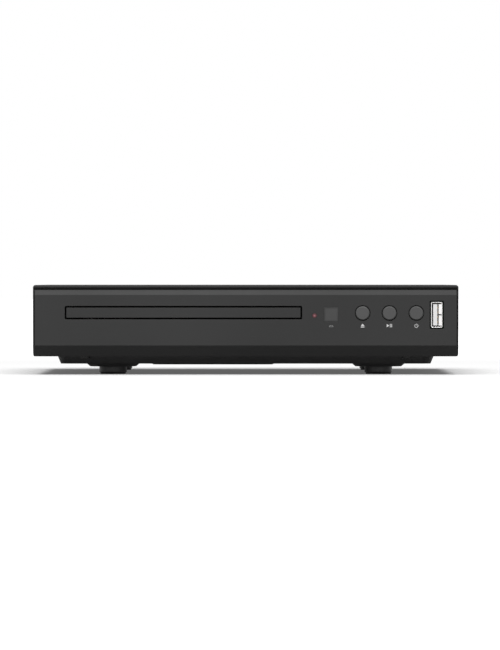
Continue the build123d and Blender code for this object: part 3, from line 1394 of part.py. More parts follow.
def cam_slider():
    """Plate with two sloping slots that lift the pins of the traverse."""
    reach = LIFT_PIN_X + CAM_SLOT + SLIDER_MARGIN
    left, right = TRAY_X - reach - SLIDER_TRAVEL, TRAY_X + reach
    high = PIVOT_Z + CAM_SLOT + SLIDER_MARGIN
    view = outline([(left, SLIDER_Z), (right, SLIDER_Z), (right, high), (left, high)])
    run = sqrt(SLIDER_TRAVEL**2 + LIFT**2)
    slope = degrees(atan(LIFT / SLIDER_TRAVEL))
    for side in (-1, 1):
        slot = SlotCenterToCenter(run, CAM_SLOT * 2, rotation=-slope)
        x = TRAY_X + side * LIFT_PIN_X - SLIDER_TRAVEL / 2
        view = view - Pos(x, PIVOT_Z - LIFT / 2) * slot
    return through(view, SLIDER_Y, SLIDER_Y + SLIDER)


# Clamper
def clamp_bridge():
    """Pressed bridge over the tray, with stiffening ribs and the hole of the clamper."""
    half = LOADER_HALF + LOADER_WALL + BRIDGE_POST
    high = BRIDGE_Z + BRIDGE
    plan = Pos(TRAY_X, DISC_Y) * RectangleRounded(half * 2, BRIDGE_HALF * 2, TRAY_ROUND)
    bridge = upward(plan, BRIDGE_Z, high)
    for y in (DISC_Y - BRIDGE_HALF, DISC_Y + BRIDGE_HALF - BRIDGE):
        rib = (TRAY_X - LOADER_HALF, TRAY_X + LOADER_HALF)
        bridge = bridge + block(*rib, y, y + BRIDGE, high, high + BRIDGE_RIB)
    for x, y in bridge_screw_places():
        bridge = bridge - upright(PILOT_R, BRIDGE_Z - OVERRUN, high + OVERRUN, x, y)
    hole_r = CLAMPER_NECK_R + BRIDGE_HOLE_GAP
    return bridge - upright(hole_r, BRIDGE_Z - OVERRUN, high + OVERRUN, TRAY_X, DISC_Y)


def clamper():
    """Puck that presses the disc on the turntable, dished for the cone."""
    top = BRIDGE_Z + BRIDGE + FIT
    puck = turned(
        [
            (0, CLAMP_Z + CLAMPER_DISH),
            (HUB_R + CLAMPER_DISH_GAP, CLAMP_Z + CLAMPER_DISH),
            (HUB_R + CLAMPER_DISH_GAP, CLAMP_Z),
            (CLAMPER_NECK_R + CLAMPER_LAP, CLAMP_Z),
            (CLAMPER_NECK_R + CLAMPER_LAP, CLAMP_Z + CLAMPER_FLANGE),
            (CLAMPER_NECK_R, CLAMP_Z + CLAMPER_FLANGE),
            (CLAMPER_NECK_R, top),
            (0, top),
        ]
    )
    return Pos(TRAY_X, DISC_Y) * puck


def clamper_yoke():
    """Steel disc on the puck that rests on the bridge."""
    low = BRIDGE_Z + BRIDGE + FIT
    return upright(CLAMPER_NECK_R + YOKE_LAP, low, low + YOKE, TRAY_X, DISC_Y)


# Electronics
def main_board():
    board = block(MAIN_LEFT, MAIN_RIGHT, MAIN_Y, BOARD_BACK_Y, BOARD_Z, BOARD_TOP)
    for x, y in main_post_places():
        board = board - upright(PILOT_R, BOARD_Z - OVERRUN, BOARD_TOP + OVERRUN, x, y)
    return board


def power_board():
    left = -TUB_HALF + TUB_INSET
    board = block(left, TRAY_X + POWER_HALF, POWER_Y, BOARD_BACK_Y, BOARD_Z, BOARD_TOP)
    for x, y in power_post_places():
        board = board - upright(PILOT_R, BOARD_Z - OVERRUN, BOARD_TOP + OVERRUN, x, y)
    return board


def chips():
    """Decoder and the smaller chips around it."""
    high = BOARD_TOP + CHIP_THICK
    corner = Pos(MAIN_LEFT, MAIN_Y)
    decoder = corner * Pos(CHIP_X, CHIP_Y) * Rectangle(CHIP_SIZE, CHIP_SIZE)
    small = Rectangle(SMALL_CHIP_WIDTH, SMALL_CHIP_LENGTH)
    plans = [corner * Pos(x, y) * small for x, y in zip(SMALL_CHIP_XS, SMALL_CHIP_YS)]
    return [upward(plan, BOARD_TOP, high) for plan in [decoder] + plans]


def capacitors():
    """Electrolytic capacitors of both boards."""
    high = BOARD_TOP + CAP_HEIGHT
    places = [(MAIN_LEFT + x, MAIN_Y + y) for x, y in zip(CAP_XS, CAP_YS)]
    small = [upright(CAP_R, BOARD_TOP, high, x, y) for x, y in places]
    bulk_high = BOARD_TOP + BULK_HEIGHT
    return small + [upright(BULK_R, BOARD_TOP, bulk_high, TRAY_X + BULK_X, power_middle_y())]


def power_middle_y():
    return (POWER_Y + BOARD_BACK_Y) / 2


def transformer():
    """Core block with the winding that swells out of it."""
    here = Pos(TRAY_X + TRANSFORMER_X, power_middle_y())
    high = BOARD_TOP + TRANSFORMER_HEIGHT
    core = upward(here * Rectangle(TRANSFORMER_WIDTH, TRANSFORMER_DEPTH), BOARD_TOP, high)
    depth = TRANSFORMER_DEPTH + COIL_SWELL * 2
    coil = here * RectangleRounded(COIL_WIDTH, depth, COIL_SWELL)
    return core + upward(coil, BOARD_TOP + COIL_SWELL, high - COIL_SWELL)


def heat_sink():
    """Comb of fins on an upright base."""
    x, y = TRAY_X + SINK_X, power_middle_y()
    left, right = x - SINK_WIDTH / 2, x + SINK_WIDTH / 2
    high = BOARD_TOP + SINK_HEIGHT
    sink = block(left, right, y, y + SINK_BASE, BOARD_TOP, high)
    step = (SINK_WIDTH - SINK_FIN) / (SINK_FIN_COUNT - 1)
    for i in range(SINK_FIN_COUNT):
        fin = left + i * step
        sink = sink + block(fin, fin + SINK_FIN, y - SINK_FIN_REACH, y, BOARD_TOP, high)
    return sink


# Rear sockets
def mains_inlet():
    """Two pole inlet: a slot shaped cup through the rear wall with a flange behind it."""
    here = Pos(INLET_X, INLET_Z)
    front = WALL_FRONT_Y - INLET_DEPTH
    back = BACK + INLET_PROUD
    cup = through(here * SlotOverall(INLET_WIDTH, INLET_HEIGHT), front, back)
    flange = SlotOverall(INLET_WIDTH + INLET_FLANGE * 2, INLET_HEIGHT + INLET_FLANGE * 2)
    cup = cup + through(here * flange, WALL_FRONT_Y - INLET_FLANGE_THICK, WALL_FRONT_Y)
    foot_half = INLET_WIDTH / 2 - INLET_HEIGHT / 2
    low = INLET_Z - INLET_HEIGHT / 2 + INLET_WALL / 2
    cup = cup + block(INLET_X - foot_half, INLET_X + foot_half, front, BOARD_BACK_Y, BOARD_TOP, low)
    mouth = SlotOverall(INLET_WIDTH - INLET_WALL * 2, INLET_HEIGHT - INLET_WALL * 2)
    cup = cup - through(here * mouth, front + INLET_FLOOR, back + OVERRUN)
    for side in (-1, 1):
        x = INLET_X + side * PRONG_PITCH / 2
        cup = cup - endwise(PRONG_R, front - OVERRUN, front + INLET_FLOOR + OVERRUN, x, INLET_Z)
    return cup


def inlet_prongs():
    front = WALL_FRONT_Y - INLET_DEPTH
    end = front + INLET_FLOOR + PRONG_LENGTH
    places = [INLET_X + side * PRONG_PITCH / 2 for side in (-1, 1)]
    return [endwise(PRONG_R, front, end, x, INLET_Z) for x in places]


def jack_block():
    """Moulded block of the three jacks behind the rear wall."""
    half = JACK_BLOCK_WIDTH / 2
    front = WALL_FRONT_Y - JACK_BLOCK_DEPTH
    back = WALL_FRONT_Y
    high = BOARD_TOP + JACK_BLOCK_HEIGHT
    case = block(JACK_X - half, JACK_X + half, front, back, BOARD_TOP, high)
    for x in jack_xs():
        case = case - endwise(JACK_R + SHAFT_FIT, back - JACK_R, back + OVERRUN, x, JACK_Z)
    return case


def jack_barrels():
    """Metal barrels that a plug grips, seated in the block."""
    ring = Circle(JACK_R) - Circle(JACK_R - JACK_WALL)
    front = WALL_FRONT_Y - JACK_R
    return [through(Pos(x, JACK_Z) * ring, front, BACK + JACK_REACH) for x in jack_xs()]


def jack_insert(x):
    """Coloured insulator inside a barrel, with the hole of the centre contact."""
    ring = Circle(JACK_R - JACK_WALL) - Circle(JACK_HOLE_R)
    back = BACK + JACK_REACH - JACK_INSERT_INSET
    return through(Pos(x, JACK_Z) * ring, WALL_FRONT_Y - JACK_R, back)


def video_outline(offset):
    """Front view of the video socket, grown by an offset: lower corners cut away."""
    half = VIDEO_WIDTH / 2 + offset
    high = VIDEO_HEIGHT / 2 + offset
    bevel = VIDEO_BEVEL
    return outline(
        [
            (-half, high),
            (half, high),
            (half, bevel - high),
            (half - bevel, -high),
            (bevel - half, -high),
            (-half, bevel - high),
        ]
    )


def video_shell():
    here = Pos(VIDEO_X, VIDEO_Z)
    view = here * video_outline(0) - here * video_outline(-VIDEO_SHEET)
    return through(view, WALL_FRONT_Y - VIDEO_DEPTH, BACK)


def video_tongue():
    """Insulator of the video socket with its flat tongue."""
    here = Pos(VIDEO_X, VIDEO_Z)
    front = WALL_FRONT_Y - VIDEO_DEPTH
    base = through(here * video_outline(-VIDEO_SHEET), front, front + VIDEO_BASE)
    wide = VIDEO_WIDTH - (VIDEO_SHEET + VIDEO_TONGUE_MARGIN) * 2
    blade = here * Rectangle(wide, VIDEO_TONGUE)
    return base + through(blade, front + VIDEO_BASE, BACK - VIDEO_TONGUE_INSET)


# Leads
def front_ribbon():
    """Flat ribbon from the back of the front board down to the main board."""
    start = BOARD_Y + BOARD
    end = MAIN_Y + RIBBON_REACH
    high = BOARD_TOP + RIBBON_RISE
    route = FilletPolyline((start, high), (end, high), (end, BOARD_TOP), radius=RIBBON_BEND)
    strip = trace(route, line_width=RIBBON)
    middle = MAIN_LEFT + RIBBON_X
    return across(strip, middle - RIBBON_WIDTH / 2, middle + RIBBON_WIDTH / 2)


def power_lead():
    """Flat lead that arches from the power board to the main board."""
    start = TRAY_X + POWER_HALF - LEAD_INSET * 2
    end = MAIN_LEFT + LEAD_INSET
    high = BOARD_TOP + LEAD_RISE
    points = [(start, BOARD_TOP), (start, high), (end, high), (end, BOARD_TOP)]
    strip = trace(FilletPolyline(*points, radius=RIBBON_BEND), line_width=LEAD_THICK)
    front = POWER_Y + POWER_GAP
    return through(strip, front, front + LEAD_WIDTH)


def pieces():
    """Every node with its solid, or with its list of alike solids."""
    first, second, third = button_xs()
    left, middle, right = jack_xs()
    return {
        "bottom_pan": bottom_pan(),
        "top_cover": top_cover(),
        "front_fascia": front_fascia(),
        "feet": [Pos(x, y) * foot() for x, y in foot_places()],
        "foot_pads": [Pos(x, y) * foot_pad() for x, y in foot_places()],
        "cover_screws": cover_screws(),
        "inner_screws": inner_screws(),
        "ir_window": ir_window(),
        "lamp_pipe": lamp_pipe(),
        "standby_lamp": standby_lamp(),
        "eject_button": button(first),
        "play_button": button(second),
        "power_button": button(third),
        "eject_plunger": plunger(first),
        "play_plunger": plunger(second),
        "power_plunger": plunger(third),
        "tact_switches": [tact_switch(x) for x in button_xs()],
        "ir_receiver": ir_receiver(),
        "host_shell": host_shell(),
        "host_tongue": host_tongue(),
        "front_board": front_board(),
        "disc_tray": tray_with_hook_slots(),
        "tray_door": tray_door(),
        "loader_frame": loader_frame(),
        "loading_motor": loading_motor(),
        "motor_pulley": motor_pulley(),
        "drive_belt": drive_belt(),
        "pulley_gear": pulley_gear(),
        "drive_gear": drive_gear(),
        "cam_slider": cam_slider(),
        "pivot_bushes": pivot_bushes(),
        "traverse_frame": traverse_frame(),
        "guide_rods": guide_rods(),
        "spindle_motor": spindle_motor(),
        "turntable": turntable(),
        "sled_motor": sled_motor(),
        "lead_screw": lead_screw(),
        "pickup_sled": pickup_sled(),
        "lens_holder": lens_holder(),
        "objective_lens": objective_lens(),
        "clamp_bridge": clamp_bridge(),
        "clamper": clamper(),
        "clamper_yoke": clamper_yoke(),
        "main_board": main_board(),
        "power_board": power_board(),
        "chips": chips(),
        "capacitors": capacitors(),
        "transformer": transformer(),
        "heat_sink": heat_sink(),
        "mains_inlet": mains_inlet(),
        "inlet_prongs": inlet_prongs(),
        "jack_block": jack_block(),
        "jack_barrels": jack_barrels(),
        "video_insert_yellow": jack_insert(left),
        "left_insert_white": jack_insert(middle),
        "right_insert_red": jack_insert(right),
        "video_shell": video_shell(),
        "video_tongue": video_tongue(),
        "front_ribbon": front_ribbon(),
        "power_lead": power_lead(),
    }


os.makedirs("parts", exist_ok=True)
for node, made in pieces().items():
    shape = Compound(children=[Part() + one for one in made]) if isinstance(made, list) else made
    export_step(shape, f"parts/{node}.step")
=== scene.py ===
import json
from math import cos, pi, radians, sin

import bmesh
import bpy
from mathutils import Matrix, Vector


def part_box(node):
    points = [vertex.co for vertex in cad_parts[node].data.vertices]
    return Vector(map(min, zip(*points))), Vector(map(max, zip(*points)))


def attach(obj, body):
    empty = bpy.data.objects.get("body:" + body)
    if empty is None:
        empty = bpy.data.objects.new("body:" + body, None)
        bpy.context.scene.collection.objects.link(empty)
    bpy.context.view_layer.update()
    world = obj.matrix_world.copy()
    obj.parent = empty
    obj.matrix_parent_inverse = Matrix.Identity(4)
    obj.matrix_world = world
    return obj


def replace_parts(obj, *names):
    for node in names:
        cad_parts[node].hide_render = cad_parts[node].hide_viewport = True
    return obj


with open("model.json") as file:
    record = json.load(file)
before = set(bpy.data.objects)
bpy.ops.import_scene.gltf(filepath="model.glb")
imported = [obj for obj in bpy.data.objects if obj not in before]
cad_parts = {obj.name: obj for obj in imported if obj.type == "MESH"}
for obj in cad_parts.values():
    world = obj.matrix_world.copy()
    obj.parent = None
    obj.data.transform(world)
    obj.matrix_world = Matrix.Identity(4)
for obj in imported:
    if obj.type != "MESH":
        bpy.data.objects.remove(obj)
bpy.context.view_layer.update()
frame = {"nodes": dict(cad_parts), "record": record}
scene = bpy.context.scene
scene.view_settings.view_transform = "Standard"

MM = 0.001
FLOAT = "NodeSocketFloat"
COLOUR = "NodeSocketColor"
VECTOR = "NodeSocketVector"
INTEGER = "NodeSocketInt"
MATERIAL = "NodeSocketMaterial"
GEOMETRY = "NodeSocketGeometry"

# Camera and studio
CAMERA_AT = (2.28 * MM, -3.1, 50 * MM)
CAMERA_AIM = (2.28 * MM, -0.1, 26.3 * MM)
CAMERA_LENS = 314
CAMERA_FAR = 100
FLOOR_REACH = 12.0
FLOOR_PALE = (0.66, 0.66, 0.66, 1)
FLOOR_BOUNCE = (0.14, 0.14, 0.14, 1)
FLOOR_GLOW = 0.12
FADE_FROM = 0.35
FADE_TO = 1.2
FILL_LIGHT = 0.25
WHITE = (1, 1, 1, 1)

# Finishes
DUST = (0.32, 0.31, 0.29, 1)
DUST_SCALE = 70.0
EDGE_ROUND = 0.25 * MM
GLOSS_SPREAD = 0.08
GRAIN_DEPTH = 0.05 * MM
TRACK_STEP = 1.3 * MM
CONDUCTOR_STEP = MM
TAPE_LAP = 2.6 * MM
SLEEVE_STRIPE_STEP = 12 * MM
SLEEVE_DASH_STEP = 3 * MM
CLEAR_IOR = 1.49
LENS_IOR = 1.52

# Printed marks on the front
BUTTONS = ("eject_button", "play_button", "power_button")
PRINT = 0.02 * MM
ARC_STEPS = 20
SYMBOL_Z = 26.0 * MM
SYMBOL_HALF = 1.02 * MM
POWER_ARC = (125, 415)
REMOTE_Z = 25.55 * MM
REMOTE_HALF = 0.48 * MM
REMOTE_RADIUS = 0.42 * MM
REMOTE_WIDTH = 0.38 * MM
REMOTE_ARC = (-50, 230)

# Host socket: heights from its middle, and the plan of a spring from the wall and the mouth
TONGUE_SHIFT = 0.75 * MM
TONGUE_HALF = 1.1 * MM
CONTACT_HEIGHTS = (-3.8, -1.3, 1.3, 3.8)
CONTACT_START = 0.4 * MM
CONTACT_END = 3.2 * MM
CONTACT_HALF = 0.5 * MM
CONTACT_SINK = 0.1 * MM
CONTACT_RISE = 0.16 * MM
CONTACT_ROUND = 0.05 * MM
BUMP_HALF = 0.4 * MM
BUMP_REACH = (1.2, 2.6)
BUMP_RISE = 0.3 * MM
BUMP_ROUND = 0.12 * MM
SHELL_WALL = 0.35 * MM
SPRING_HEIGHTS = (-3.0, 3.0)
SPRING_HALF = 2.7 * MM
SPRING_THICK = 0.18 * MM
SPRING_PLAN = [(0.0, 0.15), (-1.5, 0.9), (-1.75, 1.5), (-1.0, 4.0), (-0.2, 5.6)]

# Switch plates
PLATE_HALF = 2.8 * MM
PLATE_HOLE = 1.85 * MM
PLATE_THICK = 0.15 * MM
PLATE_STEPS = 32
RIVET_OFF = 2.2 * MM
RIVET_RADIUS = 0.35 * MM
RIVET_HIGH = 0.12 * MM

# Places on the main board, in millimetres from its front left corner. A chip has its half sizes, its leads
# on a side and the number of sides with leads. A field has its left, right, front and back.
CAN_PLACES = [(16, 116), (28, 116), (40, 116), (52, 116), (52, 36)]
LARGE_CHIP = (34, 46, 10, 10, 24, 4)
SMALL_CHIP = (4, 6, 12, 2)
SMALL_CHIP_PLACES = ((14, 36), (14, 60), (48, 80))
LEAD_MARGIN = 1.6
FREE_FIELDS = [
    (21, 47, 12, 32),
    (3, 8, 14, 100),
    (20, 44, 60, 74),
    (4, 56, 90, 108),
    (52, 62, 44, 70),
    (4, 40, 122, 134),
]

# Capacitors: those on the main board, the one on the power board left of the tray's middle, and their tops
CAN_HIGH = 11 * MM
CAN_RADIUS = 3.2 * MM
MAINS_CAN_LEFT = 14 * MM
MAINS_CAN_RADIUS = 6.5 * MM
TOP_SHARE = 0.78
TOP_GAP = 0.25 * MM
TOP_SINK = 0.1 * MM
TOP_RISE = 0.12 * MM
TOP_STEPS = 8

# Rubber ring of the turntable, in millimetres: radius and height
RING_PROFILE = [(7.6, -0.1), (7.6, 0.05), (7.8, 0.1), (10.1, 0.1), (10.35, 0.0), (10.35, -0.1)]
RING_STEPS = 72

# Screws, in millimetres. A screw of the case has its place along the rear and the turn of its recess.
CASE_SCREWS = ((-90, 20), (0, 65), (90, 38))
CASE_SCREW_Z = 43.0
PAN_SCREWS = (-85, 85)
PAN_SCREW_Y = -89.95
PAN_SCREW_Z = 9.65
FRONT_BOARD_SCREWS = ((40.8, 21.65), (95.6, 21.65), (68.9, 39.65))
LOADER_SCREWS = [(x, y, 14.5) for x in (-102.25, 36.45) for y in (-76.75, 58.25)]
BRIDGE_SCREWS = [(x, -31.25, 41.45) for x in (-97.75, 31.95)]
MAIN_BOARD_SCREWS = [(x, y) for x in (49.0, 89.5) for y in (-74.75, 65.75)]
POWER_BOARD_SCREWS = [(x, 75.75) for x in (-89.5, 22.1)]

# Thread of the lead screw between its journals
LEAD_LENGTH = 64.6 * MM


def middle(node):
    low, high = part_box(node)
    return (Vector(low) + Vector(high)) / 2


def add(tree, kind, inputs=None, **settings):
    """A node with its settings and its inputs, which are values or sockets to link."""
    node = tree.nodes.new(kind)
    for name, value in settings.items():
        setattr(node, name, value)
    for name, value in (inputs or {}).items():
        socket = node.inputs[name]
        if isinstance(value, bpy.types.NodeSocket):
            tree.links.new(value, socket)
        else:
            socket.default_value = value
    return node


def calc(tree, operation, first, second=0.0):
    return add(tree, "ShaderNodeMath", {0: first, 1: second}, operation=operation).outputs[0]


def mix_colour(tree, factor, first, second):
    return add(tree, "ShaderNodeMix", {0: factor, 6: first, 7: second}, data_type="RGBA").outputs[2]


def spread(tree, value, low, high, to_low=0.0, to_high=1.0, way="LINEAR"):
    """A value brought from one range to another and kept inside it."""
    slots = {"Value": value, "From Min": low, "From Max": high, "To Min": to_low, "To Max": to_high}
    return add(tree, "ShaderNodeMapRange", slots, interpolation_type=way).outputs[0]


def eased(tree, value, low, high, to_low=0.0, to_high=1.0):
    """The same with a soft start and end."""
    return spread(tree, value, low, high, to_low, to_high, "SMOOTHSTEP")


def object_place(tree):
    return add(tree, "ShaderNodeTexCoord").outputs["Object"]


def shader_group(name, inputs, outputs):
    """An empty shader node group with its named sockets."""
    tree = bpy.data.node_groups.new(name, "ShaderNodeTree")
    for label, kind, value in inputs:
        tree.interface.new_socket(label, in_out="INPUT", socket_type=kind).default_value = value
    for label, kind in outputs:
        tree.interface.new_socket(label, in_out="OUTPUT", socket_type=kind)
    return tree, add(tree, "NodeGroupInput").outputs, add(tree, "NodeGroupOutput").inputs


def soft_edge_group():
    """Rounded edges: the normal over an edge, and a mask of how much it turns there."""
    sockets = [("Normal", VECTOR), ("Edge", FLOAT)]
    tree, given, result = shader_group("soft_edge", [("Radius", FLOAT, 0.3 * MM)], sockets)
    rounded = add(tree, "ShaderNodeBevel", {"Radius": given["Radius"]}, samples=4).outputs[0]
    plain = add(tree, "ShaderNodeNewGeometry").outputs["Normal"]
    turn = add(tree, "ShaderNodeVectorMath", {0: rounded, 1: plain}, operation="DOT_PRODUCT")
    tree.links.new(rounded, result["Normal"])
    tree.links.new(spread(tree, turn.outputs["Value"], 0.995, 0.86), result["Edge"])
    return tree


def moulded_grain_group():
    """Fine eroded grain of a moulding tool: pits between small rounded grains."""
    tree, given, result = shader_group("moulded_grain", [("Scale", FLOAT, 2500)], [("Height", FLOAT)])
    place = object_place(tree)
    grains = add(tree, "ShaderNodeTexVoronoi", {"Vector": place, "Scale": given["Scale"]}, feature="SMOOTH_F1")
    wider = calc(tree, "MULTIPLY", given["Scale"], 0.37)
    waves = add(tree, "ShaderNodeTexNoise", {"Vector": place, "Scale": wider, "Detail": 4.0})
    height = calc(tree, "ADD", grains.outputs["Distance"], waves.outputs["Fac"])
    tree.links.new(height, result["Height"])
    return tree


def tone_drift_group():
    """Slow change of colour and gloss over a surface."""
    inputs = [
        ("Colour", COLOUR, (0.5, 0.5, 0.5, 1)),
        ("Second Colour", COLOUR, (0.5, 0.5, 0.5, 1)),
        ("Scale", FLOAT, 30),
        ("Roughness", FLOAT, 0.5),
        ("Roughness Spread", FLOAT, 0.08),
    ]
    tree, given, result = shader_group("tone_drift", inputs, [("Colour", COLOUR), ("Roughness", FLOAT)])
    place = object_place(tree)
    clouds = add(tree, "ShaderNodeTexNoise", {"Vector": place, "Scale": given["Scale"], "Detail": 6.0})
    tone = spread(tree, clouds.outputs["Fac"], 0.35, 0.65)
    tree.links.new(mix_colour(tree, tone, given["Colour"], given["Second Colour"]), result["Colour"])
    finer = calc(tree, "MULTIPLY", given["Scale"], 7.3)
    smears = add(tree, "ShaderNodeTexNoise", {"Vector": place, "Scale": finer, "Detail": 3.0})
    swing = calc(tree, "SUBTRACT", smears.outputs["Fac"], 0.5)
    offset = calc(tree, "MULTIPLY", swing, given["Roughness Spread"])
    tree.links.new(calc(tree, "ADD", given["Roughness"], offset), result["Roughness"])
    return tree


def drawn_lines_group():
    """Fine lines that rolling, turning or grinding leaves along one direction of a metal."""
    inputs = [("Scale", FLOAT, 900), ("Stretch", VECTOR, (1, 0.04, 1))]
    tree, given, result = shader_group("drawn_lines", inputs, [("Height", FLOAT)])
    place = add(tree, "ShaderNodeVectorMath", {0: object_place(tree), 1: given["Stretch"]}, operation="MULTIPLY")
    lines = add(tree, "ShaderNodeTexNoise", {"Vector": place.outputs[0], "Scale": given["Scale"], "Detail": 5.0})
    tree.links.new(lines.outputs["Fac"], result["Height"])
    return tree


def settled_dust_group():
    """Thin dust on faces that look up, broken into patches."""
    inputs = [("Amount", FLOAT, 0.05), ("Scale", FLOAT, 60)]
    tree, given, result = shader_group("settled_dust", inputs, [("Mask", FLOAT)])
    normal = add(tree, "ShaderNodeNewGeometry").outputs["Normal"]
    up = add(tree, "ShaderNodeSeparateXYZ", {0: normal}).outputs["Z"]
    noise = add(tree, "ShaderNodeTexNoise", {"Vector": object_place(tree), "Scale": given["Scale"], "Detail": 8.0})
    patches = spread(tree, noise.outputs["Fac"], 0.4, 0.75)
    lying = calc(tree, "MULTIPLY", spread(tree, up, 0.6, 0.95), patches)
    tree.links.new(calc(tree, "MULTIPLY", lying, given["Amount"]), result["Mask"])
    return tree


SOFT_EDGE = soft_edge_group()
MOULDED_GRAIN = moulded_grain_group()
TONE_DRIFT = tone_drift_group()
DRAWN_LINES = drawn_lines_group()
SETTLED_DUST = settled_dust_group()


def use(tree, group, inputs):
    """A group placed in a material, as its outputs."""
    return add(tree, "ShaderNodeGroup", inputs, node_tree=group).outputs


def new_material(name):
    material = bpy.data.materials.new(name)
    material.use_nodes = True
    tree = material.node_tree
    return material, tree, tree.nodes["Principled BSDF"]


def grey(level, warmth=1.0):
    return (level * warmth, level, level / warmth, 1)


def dress(tree, shader, look, height):
    """Links colour, gloss, worn edges, dust and surface height to the shader."""
    drift = use(
        tree,
        TONE_DRIFT,
        {
            "Colour": look["colour"],
            "Second Colour": look["second"],
            "Scale": look.get("drift", 25.0),
            "Roughness": look["rough"],
            "Roughness Spread": GLOSS_SPREAD,
        },
    )
    edge = use(tree, SOFT_EDGE, {"Radius": EDGE_ROUND})
    worn = calc(tree, "MULTIPLY", edge["Edge"], look.get("wear", 0.35))
    colour = mix_colour(tree, worn, drift["Colour"], look["edge"])
    dust = use(tree, SETTLED_DUST, {"Amount": look.get("dust", 0.03), "Scale": DUST_SCALE})["Mask"]
    tree.links.new(mix_colour(tree, dust, colour, DUST), shader.inputs["Base Color"])
    dull = calc(tree, "MULTIPLY", dust, 0.4)
    tree.links.new(calc(tree, "ADD", drift["Roughness"], dull), shader.inputs["Roughness"])
    slots = {"Height": height, "Normal": edge["Normal"], "Strength": look.get("bump", 0.3), "Distance": GRAIN_DEPTH}
    bump = add(tree, "ShaderNodeBump", slots)
    tree.links.new(bump.outputs[0], shader.inputs["Normal"])


def tint(tree, shader, mask, colour):
    """A second colour over the one that the shader has, where the mask says."""
    socket = shader.inputs["Base Color"]
    tree.links.new(mix_colour(tree, mask, socket.links[0].from_socket, colour), socket)


def repeats(tree, along, step):
    """A wave that runs along a coordinate, from -1 to 1 and back in each step."""
    return calc(tree, "SINE", calc(tree, "MULTIPLY", along, 2 * pi / step))


def moulded(name, look, level=0.5, coat=0.0):
    """Plastic with the fine grain of its moulding tool."""
    material, tree, shader = new_material(name)
    height = use(tree, MOULDED_GRAIN, {"Scale": look.get("grain", 2600.0)})["Height"]
    dress(tree, shader, look, height)
    shader.inputs["Specular IOR Level"].default_value = level
    shader.inputs["Coat Weight"].default_value = coat
    return material


def metal(name, look, stretch=(1, 0.04, 1)):
    """Bare or plated metal with drawn lines."""
    material, tree, shader = new_material(name)
    lines = use(tree, DRAWN_LINES, {"Scale": look.get("grain", 900.0), "Stretch": stretch})
    dress(tree, shader, look, lines["Height"])
    shader.inputs["Metallic"].default_value = 1.0
    return material


def plain_look(colour, rough, **more):
    """A look from one colour: its drift and its worn edge are worked out."""
    look = {"colour": colour, "rough": rough}
    look["second"] = tuple(c * 0.86 for c in colour[:3]) + (1,)
    look["edge"] = tuple(min(1.0, c * 1.35 + 0.01) for c in colour[:3]) + (1,)
    look.update(more)
    return look


def clear_plastic(name, colour, transmission, rough):
    """Tinted clear plastic, with streaks of flow in it."""
    material, tree, shader = new_material(name)
    dress(tree, shader, plain_look(colour, rough, bump=0.05), streaks(tree, 400.0))
    shader.inputs["Transmission Weight"].default_value = transmission
    shader.inputs["IOR"].default_value = CLEAR_IOR
    return material


def streaks(tree, scale):
    noise = add(tree, "ShaderNodeTexNoise", {"Vector": object_place(tree), "Scale": scale, "Detail": 3.0})
    return noise.outputs["Fac"]


def board_tracks(tree):
    """Mask of the copper of a board: straight tracks that run both ways, and poured areas."""
    parts = add(tree, "ShaderNodeSeparateXYZ", {0: object_place(tree)}).outputs
    over = calc(tree, "ADD", parts["Y"], parts["Z"])
    flat = add(tree, "ShaderNodeCombineXYZ", {"X": parts["X"], "Y": over}).outputs[0]
    slots = {0: flat, "Scale": 1 / TRACK_STEP}
    steps = add(tree, "ShaderNodeVectorMath", slots, operation="SCALE").outputs[0]
    cell = add(tree, "ShaderNodeVectorMath", {0: steps}, operation="FLOOR").outputs[0]
    inside = add(tree, "ShaderNodeVectorMath", {0: steps}, operation="FRACTION").outputs[0]
    inside = add(tree, "ShaderNodeSeparateXYZ", {0: inside}).outputs
    pick = add(tree, "ShaderNodeTexWhiteNoise", {"Vector": cell}).outputs["Value"]
    turned = calc(tree, "GREATER_THAN", pick, 0.5)
    slots = {0: turned, 2: inside["X"], 3: inside["Y"]}
    across = add(tree, "ShaderNodeMix", slots, data_type="FLOAT").outputs[0]
    off = calc(tree, "ABSOLUTE", calc(tree, "SUBTRACT", across, 0.5))
    track = spread(tree, off, 0.14, 0.19, 1.0, 0.0)
    bare = calc(tree, "LESS_THAN", pick, 0.9)
    clouds = add(tree, "ShaderNodeTexNoise", {"Vector": flat, "Scale": 45.0, "Detail": 0.0}).outputs["Fac"]
    poured = calc(tree, "MULTIPLY", spread(tree, clouds, 0.56, 0.57), 0.8)
    return calc(tree, "MAXIMUM", calc(tree, "MULTIPLY", track, bare), poured)


def board_material():
    """Green solder mask over copper tracks that stand slightly proud."""
    material, tree, shader = new_material("board_green")
    copper = board_tracks(tree)
    look = plain_look((0.014, 0.1, 0.034, 1), 0.32, wear=0.2, bump=0.4)
    dress(tree, shader, look, copper)
    tint(tree, shader, calc(tree, "MULTIPLY", copper, 0.55), (0.05, 0.26, 0.07, 1))
    return material


def ribbon_material():
    """White insulation with the flat conductors showing through it."""
    material, tree, shader = new_material("lead_plastic")
    across = add(tree, "ShaderNodeSeparateXYZ", {0: object_place(tree)}).outputs["X"]
    wave = repeats(tree, across, CONDUCTOR_STEP)
    lines = spread(tree, wave, -0.2, 0.2)
    dress(tree, shader, plain_look((0.72, 0.72, 0.69, 1), 0.35, wear=0.1), lines)
    tint(tree, shader, calc(tree, "MULTIPLY", lines, 0.45), (0.42, 0.42, 0.4, 1))
    return material


